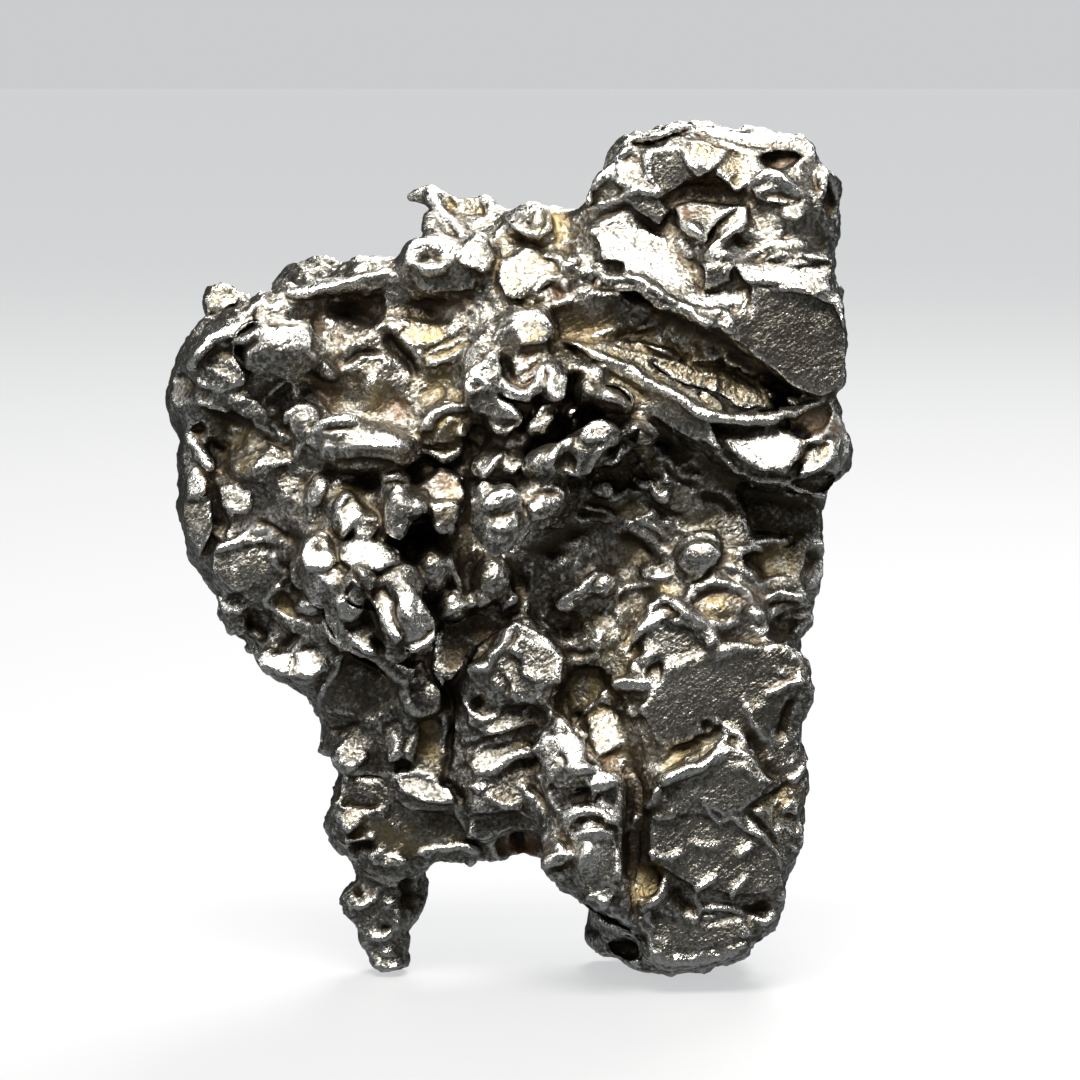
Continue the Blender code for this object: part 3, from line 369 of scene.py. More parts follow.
    # Big facet
    "olive chip upper": (4, -10, -0.1, (600, 650), (618, 642), (630, 655), (626, 676), (606, 674)),
    "olive chip lower": (2, -8, -0.1, (566, 690), (580, 668), (600, 668), (606, 690), (592, 712),
        (570, 714)),
    "textured bright": (27, -8, 0.0, (586, 720), (606, 704), (620, 712), (622, 745), (600, 756),
        (590, 745)),
    "facet flat upper": (-2, 4, 0.0, (652, 685), (690, 668), (740, 655), (790, 640), (796, 680),
        (760, 700), (720, 716), (690, 738), (660, 745), (642, 712)),
    "facet top": (4, 0, 0.0, (642, 640), (660, 620), (690, 630), (705, 650), (670, 662),
        (645, 668)),
    "facet stair": (30, -6, 0.1, (612, 680), (645, 680), (650, 664), (662, 660), (660, 682),
        (640, 690), (616, 692)),
    "facet bright bit": (32, -4, 0.1, (626, 704), (644, 704), (640, 714), (626, 714)),
    "facet right bright": (28, 12, 0.0, (776, 672), (784, 660), (790, 668), (786, 678)),
    "olive step": (18, 0, -0.2, (654, 764), (690, 745), (706, 742), (690, 756), (664, 770)),
    "facet ridge band": (33, 0, 0.15, (656, 780), (672, 772), (695, 764), (716, 748), (732, 734),
        (738, 738), (722, 755), (702, 770), (672, 782)),
    "raised flat": (-3, 0, 0.1, (664, 790), (700, 772), (728, 745), (745, 752), (775, 782),
        (745, 808), (722, 816), (700, 800), (675, 812)),
    "raised low": (-1, 4, 0.0, (650, 820), (700, 815), (745, 826), (775, 855), (785, 885),
        (745, 895), (690, 885), (650, 860)),
    "right knob upper": (28, 10, 0.1, (786, 778), (800, 766), (804, 772), (795, 784)),
    "right knob lower": (26, 10, 0.1, (782, 812), (790, 798), (800, 800), (796, 815)),
    "bottom plate": (0, 0, 0.0, (650, 910), (690, 925), (740, 918), (752, 935), (700, 950),
        (662, 940)),
    "bottom rim": (-4, -10, 0.1, (545, 880), (570, 895), (610, 918), (645, 935), (650, 950),
        (630, 940), (590, 920), (555, 900)),
    "bottom rim right": (-12, 0, 0.15, (645, 955), (700, 962), (745, 942), (748, 948), (710, 966),
        (662, 970)),
    "gold pit": (6, 10, -0.3, (634, 868), (656, 866), (662, 890), (650, 900), (638, 896)),
    "right of arch nook": (-10, -20, -0.4, (602, 945), (638, 948), (632, 958), (606, 956)),
    # Left foot
    "foot plate": (0, -8, 0.1, (352, 910), (376, 905), (402, 910), (400, 930), (372, 940),
        (352, 928)),
    "foot ledge": (26, 0, 0.1, (356, 868), (378, 874), (404, 880), (400, 888), (372, 882)),
    "foot tip": (14, 4, 0.1, (368, 950), (385, 958), (402, 958), (404, 968), (386, 970)),
    "foot prong": (10, 20, 0.1, (412, 900), (420, 905), (428, 902), (424, 914), (414, 922)),
    # Floors of the hollows
    "cave floor": (38, 0, 0.9, (674, 206), (690, 202), (716, 204), (740, 206), (716, 222),
        (702, 240), (682, 224)),
    "round pit floor": (12, 0, -0.1, (690, 604), (702, 592), (728, 590), (746, 604), (734, 622),
        (704, 622)),
    "gap floor": (10, 0, 0.0, (432, 640), (446, 622), (480, 616), (500, 628), (484, 655),
        (462, 668), (444, 690), (432, 668)),
}

# RIDGES: worn crests, as (height in mm, half width in pixels, points in view pixels).
RIDGES = {
    # Crown
    "crown rim": (0.28, 5, (586, 204), (588, 192), (602, 177), (620, 159), (634, 143), (658, 137),
        (682, 129), (700, 128), (722, 133), (748, 139), (778, 140), (804, 142)),
    "crown rim right": (0.22, 5, (804, 142), (820, 158), (832, 185), (838, 205)),
    "crown v": (0.34, 3.5, (683, 150), (690, 164), (700, 173), (713, 164), (727, 150)),
    "crown flat left": (0.26, 3, (647, 150), (647, 166), (654, 186), (667, 197)),
    "crown bar": (0.26, 3.5, (580, 214), (600, 205), (622, 197), (640, 188), (650, 193),
        (664, 198)),
    "crown brow": (0.4, 4.5, (748, 192), (754, 181), (766, 174), (778, 178), (794, 188),
        (803, 200)),
    "crown fin": (0.3, 3.5, (748, 224), (730, 234), (714, 248), (706, 260)),
    "crown cave floor": (0.22, 3, (675, 220), (690, 226), (700, 234), (706, 242)),
    "crown long ridge": (0.28, 3.5, (735, 262), (752, 254), (776, 244), (798, 241), (812, 252)),
    "shelf crest": (0.16, 4, (586, 240), (594, 228), (612, 222), (640, 232), (668, 240)),
    "shelf front": (0.12, 3, (628, 277), (645, 282), (662, 295), (682, 306), (708, 312),
        (742, 304)),
    "shelf hollow edge": (0.14, 2.5, (603, 262), (625, 262), (628, 276), (612, 281), (602, 274)),
    "lip edge": (0.16, 3, (606, 281), (636, 281), (652, 296), (664, 307), (690, 312), (704, 326),
        (722, 326), (736, 344), (762, 360), (784, 384), (806, 392)),
    "wall top": (0.3, 3, (548, 306), (564, 303), (576, 295), (590, 291), (600, 288)),
    "wall thin": (0.22, 2.5, (618, 342), (638, 330), (662, 319)),
    "wall foot": (0.14, 2.5, (562, 336), (590, 334), (618, 328)),
    # Ledge
    "ledge crest": (0.34, 4, (566, 350), (600, 358), (628, 368), (645, 382), (664, 391),
        (682, 400), (696, 412), (712, 417), (740, 421), (762, 421), (782, 416), (802, 408),
        (822, 400)),
    "ledge chin": (0.24, 3, (708, 440), (726, 460), (742, 476), (762, 481), (782, 480), (800, 490),
        (826, 496), (842, 490)),
    "ledge chin inner": (0.18, 2.5, (742, 446), (758, 462), (772, 478)),
    "ledge end": (0.28, 4.5, (834, 414), (846, 430), (845, 452), (834, 470), (820, 478)),
    "ledge ring": (0.22, 2.5, (812, 454), (820, 440), (830, 442), (832, 455), (822, 466),
        (812, 472)),
    "ledge top right": (0.24, 3.5, (784, 398), (800, 396), (824, 398)),
    "floor streak one": (0.14, 2.5, (600, 345), (640, 355), (680, 366), (712, 380)),
    "floor streak two": (0.14, 2.5, (700, 372), (716, 378), (716, 392), (702, 396)),
    # Left shoulder
    "shoulder rim": (0.26, 5, (188, 375), (194, 358), (210, 340), (232, 326), (252, 317)),
    "shoulder rim far": (0.24, 3.5, (290, 297), (316, 291), (342, 284), (364, 277), (384, 273),
        (402, 276)),
    "shoulder knobs": (0.2, 3, (250, 308), (262, 303), (272, 310), (282, 302), (292, 308)),
    "boulder edge": (0.2, 3, (300, 328), (308, 338), (306, 352), (322, 362), (334, 376),
        (340, 378)),
    "fin lens": (0.2, 2.5, (312, 360), (326, 360), (336, 368), (338, 376)),
    "inverted v": (0.3, 3, (266, 396), (276, 388), (288, 379), (294, 382), (299, 398)),
    "slab crease one": (0.14, 2.5, (205, 366), (220, 372), (234, 384)),
    "slab crease two": (0.14, 2.5, (198, 380), (215, 392), (230, 396)),
    "low lip": (0.26, 3, (196, 402), (214, 406), (228, 413)),
    "lip bits": (0.2, 3, (234, 403), (246, 399), (258, 402)),
    "claw one": (0.2, 2.2, (254, 425), (266, 429), (278, 438)),
    "claw two": (0.2, 2.2, (268, 422), (276, 428), (284, 438)),
    "left rim": (0.24, 4.5, (190, 425), (188, 440), (200, 452), (206, 464), (216, 472)),
    "left edge": (0.2, 5, (172, 404), (168, 388), (176, 374)),
    "triangle foot": (0.2, 2.5, (250, 474), (268, 469), (290, 460)),
    "dome arc": (0.18, 2.5, (288, 424), (292, 411), (302, 406), (313, 411)),
    "low arch": (0.26, 3, (296, 458), (300, 446), (310, 440), (318, 450)),
    "low arch right": (0.22, 3, (322, 458), (328, 445), (336, 456)),
    "bar top": (0.26, 3.5, (318, 424), (326, 420), (346, 417), (360, 419)),
    "bar line": (0.22, 3, (340, 449), (360, 446), (382, 447), (404, 448)),
    "recess ridge": (0.24, 3, (340, 372), (352, 362), (366, 356), (380, 356), (388, 364)),
    "recess ridge two": (0.2, 3, (384, 282), (372, 288), (362, 298)),
    # Top
    "hook ridge": (0.36, 4, (428, 192), (434, 202), (442, 214), (452, 222), (460, 234)),
    "hook tip": (0.24, 3.5, (404, 203), (412, 195), (424, 190)),
    "hook bead arc": (0.2, 3, (478, 192), (490, 198), (498, 202)),
    "small ring": (0.3, 3, (508, 218), (516, 225), (526, 234), (538, 236), (549, 228), (548, 216),
        (534, 212), (518, 213), (508, 218)),
    "neck arc": (0.24, 3, (496, 238), (502, 230), (506, 224)),
    "ring knob rim": (0.3, 4, (406, 262), (406, 252), (416, 245), (432, 242), (446, 244),
        (455, 248), (452, 260), (440, 268), (424, 269), (410, 264)),
    "slab edge": (0.26, 3, (384, 280), (400, 280), (410, 292), (416, 302)),
    "gold edge": (0.2, 3, (398, 333), (410, 345), (420, 354), (420, 362)),
    "bar one": (0.2, 2.5, (428, 352), (448, 346), (470, 339)),
    "bar two": (0.2, 2.5, (424, 364), (446, 360), (462, 352), (474, 344)),
    "crystal brow": (0.36, 3.5, (508, 319), (524, 316), (542, 315), (550, 326), (556, 334)),
    "crystal brow left": (0.3, 2.8, (493, 342), (500, 333), (514, 325)),
    "crystal left": (0.34, 4.5, (465, 382), (474, 374), (486, 366), (495, 352), (501, 362),
        (503, 376)),
    "crystal u": (0.36, 4, (494, 376), (506, 386), (516, 394), (528, 396), (538, 386), (542, 374),
        (545, 360)),
    "crystal loops": (0.26, 2.5, (470, 396), (468, 384), (478, 378), (488, 384), (482, 394)),
    "crystal right side": (0.22, 3, (545, 396), (556, 398), (566, 392), (562, 372)),
    "stripe one": (0.16, 2, (514, 372), (528, 366), (540, 356)),
    "stripe two": (0.16, 2, (518, 382), (530, 376), (540, 368)),
    "rust lens": (0.2, 3, (538, 280), (548, 276), (562, 280), (568, 292), (562, 302)),
    "plateau streak": (0.16, 3, (508, 300), (520, 290), (538, 272), (556, 262)),
    # Centre
    "crystal lower": (0.24, 3, (494, 396), (504, 402), (514, 411), (520, 420), (504, 437),
        (491, 422)),
    "lobe rib one": (0.22, 3, (536, 416), (544, 406), (552, 404)),
    "lobe rib two": (0.22, 3, (532, 428), (544, 424), (554, 414)),
    "lobe rim": (0.22, 3, (524, 424), (534, 434), (545, 437), (552, 430)),
    "pale arch": (0.32, 3, (421, 431), (432, 418), (446, 408), (462, 405)),
    "pale foot": (0.26, 3, (421, 447), (434, 454), (446, 459), (458, 452), (462, 442)),
    "pale inner": (0.18, 2.5, (436, 436), (444, 426), (452, 420)),
    "brow knob": (0.26, 3, (468, 468), (484, 476), (490, 468), (504, 452)),
    "spike crest": (0.3, 5, (486, 512), (487, 502), (496, 496), (510, 494), (520, 500)),
    "spike bar one": (0.22, 3.5, (490, 527), (504, 530), (518, 524)),
    "spike bar two": (0.22, 3, (488, 536), (500, 541), (508, 536)),
    "spike tip": (0.26, 3.5, (484, 542), (488, 554), (500, 559), (513, 550), (522, 538),
        (524, 522)),
    "spike groove rib": (0.2, 2.5, (500, 552), (510, 544), (520, 530)),
    "spike left sliver": (0.26, 3, (474, 506), (472, 494), (478, 484)),
    "tongue rim": (0.32, 3.2, (550, 464), (556, 450), (566, 440), (573, 435)),
    "tongue loop": (0.24, 3, (574, 466), (580, 476), (588, 470), (598, 452), (608, 442),
        (620, 436)),
    "tongue loop two": (0.2, 2.5, (592, 480), (604, 466), (616, 462), (622, 446)),
    "tongue top": (0.24, 4, (582, 436), (592, 426), (604, 424), (616, 430)),
    "prong rim": (0.24, 3, (402, 518), (412, 522), (424, 520)),
    "prong tongue": (0.24, 3, (392, 530), (398, 534), (404, 524)),
    "wedge foot": (0.24, 3, (432, 524), (440, 533), (450, 534), (454, 524)),
    "wedge right": (0.18, 2.5, (454, 524), (460, 508), (464, 490)),
    "little bar": (0.24, 3, (382, 484), (386, 476), (398, 474), (408, 484)),
    "gap sliver": (0.26, 3, (450, 550), (448, 562), (454, 574), (460, 588)),
    "cross bar": (0.3, 3.5, (558, 606), (566, 598), (582, 589), (592, 578), (598, 570)),
    "cross bar low": (0.2, 2.5, (562, 611), (576, 602), (592, 592), (606, 590)),
    "small loop": (0.2, 2.5, (592, 494), (598, 486), (608, 486), (612, 494), (604, 498)),
    "small bar one": (0.26, 2.8, (583, 507), (596, 511), (606, 512)),
    "small bar two": (0.24, 2.8, (580, 520), (594, 520), (610, 521)),
    "low bits one": (0.24, 3, (466, 597), (476, 592), (488, 600), (480, 606)),
    "low bits two": (0.2, 3, (440, 616), (460, 606), (476, 604)),
    "low bits three": (0.22, 3, (500, 612), (508, 602), (516, 598), (510, 590)),
    # Right flank
    "star arm left": (0.3, 3, (628, 472), (634, 479), (642, 485), (656, 484)),
    "star arm right": (0.3, 3, (656, 484), (668, 480), (680, 478)),
    "star foot": (0.32, 3.5, (652, 486), (656, 496), (662, 500), (668, 490)),
    "flank thread one": (0.26, 3, (610, 500), (618, 498), (626, 490), (642, 494)),
    "flank thread two": (0.28, 3, (652, 504), (656, 512), (646, 519), (636, 520)),
    "flank thread three": (0.28, 3, (640, 520), (654, 526), (664, 536), (668, 539)),
    "flank thread four": (0.2, 2.5, (638, 526), (652, 540), (670, 555)),
    "flank thread five": (0.2, 2.5, (660, 522), (676, 528), (688, 534), (696, 540)),
    "flank knob ring": (0.22, 2.5, (680, 466), (690, 460), (700, 464), (700, 474), (690, 480)),
    "flank dome top": (0.3, 3.5, (676, 556), (686, 548), (698, 539), (712, 537), (720, 546)),
    "flank dome foot": (0.2, 2.5, (684, 584), (698, 576), (718, 568)),
    "pocket rim": (0.26, 3, (738, 560), (742, 551), (752, 547), (766, 553)),
    "pocket rim left": (0.26, 3, (724, 564), (736, 568), (748, 574), (756, 582)),
    "pocket rim low": (0.2, 3, (756, 586), (772, 578), (790, 580)),
    "pocket rim right": (0.28, 4, (806, 540), (820, 544), (826, 558), (824, 572), (812, 584),
        (800, 588)),
    "pocket top": (0.22, 2.5, (745, 544), (765, 541), (790, 538)),
    "low arc": (0.28, 3, (768, 598), (780, 593), (792, 595), (806, 598)),
    "low arc two": (0.2, 2.5, (776, 620), (792, 616), (808, 616)),
    "low arc three": (0.2, 2.5, (790, 634), (804, 624), (816, 616)),
    "pit collar": (0.3, 4, (686, 600), (694, 588), (712, 582), (730, 584), (746, 592), (752, 606)),
    "pit collar low": (0.28, 4, (690, 612), (702, 622), (722, 626), (742, 622)),
    "bead arc": (0.22, 3, (748, 626), (760, 632), (772, 628)),
    "facet corner": (0.4, 3.6, (627, 650), (638, 638), (644, 620), (652, 608), (664, 600),
        (675, 602), (684, 614), (700, 624), (714, 636)),
    "chip line": (0.24, 3, (618, 594), (626, 588), (644, 583), (654, 586)),
    "gold line": (0.2, 2.5, (638, 566), (644, 576), (660, 578), (672, 576)),
    # Left side, lower
    "crack lip": (0.2, 3, (212, 502), (218, 512), (220, 522)),
    "round arc": (0.18, 2.5, (226, 506), (238, 512), (250, 508)),
    "left ledge": (0.3, 3.5, (213, 554), (226, 547), (242, 539), (250, 533), (264, 532),
        (271, 539)),
    "y one": (0.22, 3, (212, 532), (222, 540), (228, 544)),
    "y two": (0.22, 3, (232, 528), (230, 536), (228, 546)),
    "jag": (0.26, 3, (268, 556), (276, 556), (276, 566), (286, 578)),
    "pit bar": (0.3, 3, (262, 600), (272, 608), (286, 618)),
    "pit edge": (0.22, 3, (262, 602), (272, 592), (282, 586)),
    "knob top": (0.22, 4, (216, 604), (226, 594), (242, 590)),
    "foot rim": (0.2, 4, (256, 650), (266, 672), (286, 682), (308, 680), (328, 672)),
    "boulder peak": (0.2, 3, (302, 560), (308, 544), (320, 534), (330, 540)),
    "chip edge": (0.24, 3, (310, 507), (318, 500), (324, 488), (330, 478)),
    "crystal y": (0.24, 3, (340, 540), (352, 526), (364, 510)),
    "crystal y two": (0.22, 3, (352, 526), (366, 520), (378, 520)),
    "bit arc": (0.24, 3, (332, 490), (342, 478), (354, 478)),
    "lobe gap": (0.18, 3, (340, 548), (346, 562), (362, 574), (378, 582)),
    "rim line": (0.32, 3.5, (320, 612), (330, 632), (342, 648), (354, 650), (368, 654), (384, 664),
        (396, 676), (404, 680)),
    "lobe one foot": (0.22, 3, (348, 640), (364, 648), (380, 655)),
    "lobe two edge": (0.24, 3, (386, 588), (396, 606), (400, 626), (410, 640)),
    "lobe three edge": (0.24, 3, (400, 580), (412, 590), (420, 608), (432, 622), (434, 636),
        (420, 648), (406, 654)),
    "lobe underline": (0.2, 3, (384, 650), (396, 664), (412, 672), (426, 662)),
    "slope edge": (0.24, 3, (318, 704), (322, 690), (334, 672), (342, 656)),
    # Lower middle
    "knob rim": (0.22, 4, (404, 684), (404, 696), (410, 708), (420, 716)),
    "sliver": (0.26, 2.8, (450, 710), (454, 720), (458, 732)),
    "crystal ridge": (0.38, 4, (462, 672), (474, 668), (487, 668), (492, 656), (504, 644),
        (508, 634), (517, 627), (530, 634), (545, 642), (560, 654)),
    "crystal ridge right": (0.26, 3.5, (560, 654), (558, 668), (556, 684)),
    "crystal hollow rim": (0.22, 3, (462, 690), (470, 712), (484, 720), (498, 714), (502, 700)),
    "crystal inner": (0.2, 2.5, (506, 672), (512, 686), (516, 698)),
    "crystal knee": (0.2, 3, (540, 690), (530, 700), (524, 716)),
    "plate ridge": (0.38, 3.8, (478, 777), (492, 772), (504, 764), (514, 756), (530, 752),
        (541, 746), (547, 736), (556, 728)),
    "plate upper": (0.16, 2.5, (462, 744), (480, 736), (506, 730), (530, 724)),
    "plate bits": (0.2, 3, (484, 792), (494, 802), (506, 806), (518, 804)),
    "plate left": (0.16, 3, (462, 784), (478, 790), (490, 784)),
    "lump edge": (0.22, 3, (334, 756), (340, 766), (352, 770)),
    "ledge line": (0.3, 3.2, (344, 768), (362, 771), (380, 773), (392, 775)),
    "slab edge low": (0.28, 3.5, (388, 782), (398, 776), (412, 772), (428, 776), (442, 784),
        (454, 800), (466, 814)),
    "slab foot": (0.18, 2.8, (396, 796), (412, 806), (432, 808), (452, 806)),
    "slope right edge": (0.22, 3, (454, 804), (464, 822), (472, 838)),
    "rust pit left": (0.28, 3.5, (500, 836), (490, 844), (496, 856), (512, 862), (530, 860)),
    "rust pit dot": (0.2, 3, (506, 848), (512, 842)),
    "shelf rim": (0.28, 3.5, (342, 842), (354, 842), (370, 838), (376, 832)),
    "arch rim": (0.28, 4, (412, 856), (424, 850), (444, 846), (464, 846), (480, 850)),
    "brow rim": (0.24, 3.5, (366, 858), (380, 852), (396, 856), (408, 864)),
    "rib one": (0.22, 2.6, (392, 730), (398, 742), (394, 758)),
    "rib two": (0.24, 3, (406, 756), (412, 740), (418, 732)),
    "left lump rim": (0.22, 3.5, (328, 806), (326, 822), (332, 838)),
    # Blade
    "blade crest": (0.42, 4.5, (540, 748), (548, 735), (560, 723), (568, 732), (578, 746),
        (590, 760)),
    "blade hook": (0.4, 4.5, (568, 772), (584, 768), (600, 772), (614, 781), (600, 786),
        (596, 798)),
    "blade side": (0.24, 3, (536, 770), (544, 784), (552, 800), (560, 815)),
    "blade side two": (0.26, 3, (521, 784), (528, 793), (537, 801)),
    "blade ring": (0.38, 4, (566, 826), (566, 816), (578, 810), (600, 804), (612, 812),
        (620, 830)),
    "blade ring low": (0.32, 4.5, (566, 828), (576, 836), (592, 832), (604, 832), (616, 838)),
    "blade notch": (0.26, 3, (594, 788), (598, 798), (604, 804)),
    "blade x one": (0.32, 3.5, (550, 838), (558, 846), (566, 858)),
    "blade x two": (0.32, 3.5, (541, 867), (552, 860), (562, 856), (576, 854)),
    "blade lens rim": (0.2, 3, (580, 872), (586, 850), (596, 846)),
    "blade foot": (0.3, 4, (588, 898), (598, 890), (610, 885), (618, 890)),
    "blade foot bead": (0.2, 3, (594, 906), (604, 902), (614, 908)),
    "blade right edge": (0.26, 3, (616, 786), (618, 804), (619, 830), (619, 860), (618, 885)),
    # Big facet
    "stair one": (0.34, 3.4, (582, 720), (590, 708), (604, 698), (611, 687)),
    "stair two": (0.36, 3.4, (610, 687), (626, 683), (646, 683), (652, 678)),
    "stair three": (0.32, 3.2, (634, 676), (635, 665), (646, 658), (654, 652)),
    "facet bit": (0.3, 3.2, (628, 716), (638, 714), (646, 704)),
    "facet ridge top": (0.3, 3, (716, 722), (724, 726), (731, 731), (740, 734), (746, 742)),
    "facet long ridge": (0.44, 3.6, (654, 788), (658, 784), (676, 776), (690, 770), (703, 766),
        (716, 756), (731, 732)),
    "facet ridge fork": (0.26, 3, (714, 720), (724, 728), (736, 738)),
    "facet spur": (0.2, 2.5, (682, 745), (692, 741), (702, 744)),
    "facet small hook": (0.38, 3, (641, 804), (648, 806), (656, 800), (660, 786)),
    "facet bits": (0.22, 3, (650, 816), (664, 818), (676, 816)),
    "facet curve": (0.3, 2.4, (704, 802), (711, 814), (719, 823), (731, 815), (746, 830),
        (765, 835), (778, 851)),
    "stroke one": (0.4, 2.6, (736, 858), (744, 852), (752, 845)),
    "stroke two": (0.34, 2.6, (692, 888), (704, 884), (715, 876)),
    "stroke three": (0.38, 2.6, (730, 898), (736, 888), (748, 876)),
    "bottom y stem": (0.42, 3.2, (696, 894), (700, 908), (692, 924)),
    "bottom y arm": (0.4, 3, (700, 908), (716, 906), (732, 908), (750, 915)),
    "bottom y low": (0.22, 2.8, (700, 918), (716, 916)),
    "bottom bright": (0.32, 3.5, (752, 917), (764, 923), (776, 912)),
    "facet right zig": (0.24, 3, (762, 696), (778, 690), (792, 684), (806, 680)),
    "facet teeth": (0.22, 2.8, (742, 700), (750, 712), (752, 724), (764, 738)),
    "raised thread": (0.18, 2.4, (730, 770), (744, 766), (754, 776), (764, 784)),
    "right knob": (0.28, 3.5, (786, 782), (796, 776), (804, 764)),
    "right knob low": (0.24, 3.5, (782, 812), (790, 802), (796, 800)),
    "pit l": (0.42, 3, (645, 906), (656, 902), (663, 894), (665, 876)),
    "facet left fringe": (0.2, 3, (624, 834), (632, 826), (638, 816)),
    "flake one": (0.18, 2.5, (644, 848), (656, 856), (672, 860), (684, 850)),
    "flake two": (0.16, 2.5, (690, 842), (706, 848), (720, 846)),
    "bottom rim": (0.22, 4, (540, 876), (556, 892), (580, 908), (606, 922), (634, 932), (648, 948),
        (664, 960), (700, 958), (728, 946), (748, 936)),
    "side step": (0.2, 3, (790, 846), (800, 850), (806, 830)),
    # Left foot
    "foot ledge": (0.28, 3, (364, 868), (380, 876), (396, 879), (408, 878)),
    "foot arc": (0.2, 3, (354, 910), (364, 905), (376, 898), (380, 886)),
    "foot heel": (0.24, 3, (372, 936), (384, 938), (394, 934)),
    "foot streak": (0.22, 2.8, (362, 942), (367, 950), (374, 960)),
    "foot tip": (0.2, 3, (372, 966), (386, 970), (400, 966)),
    "foot prong": (0.2, 3, (408, 904), (418, 900), (428, 902)),
}

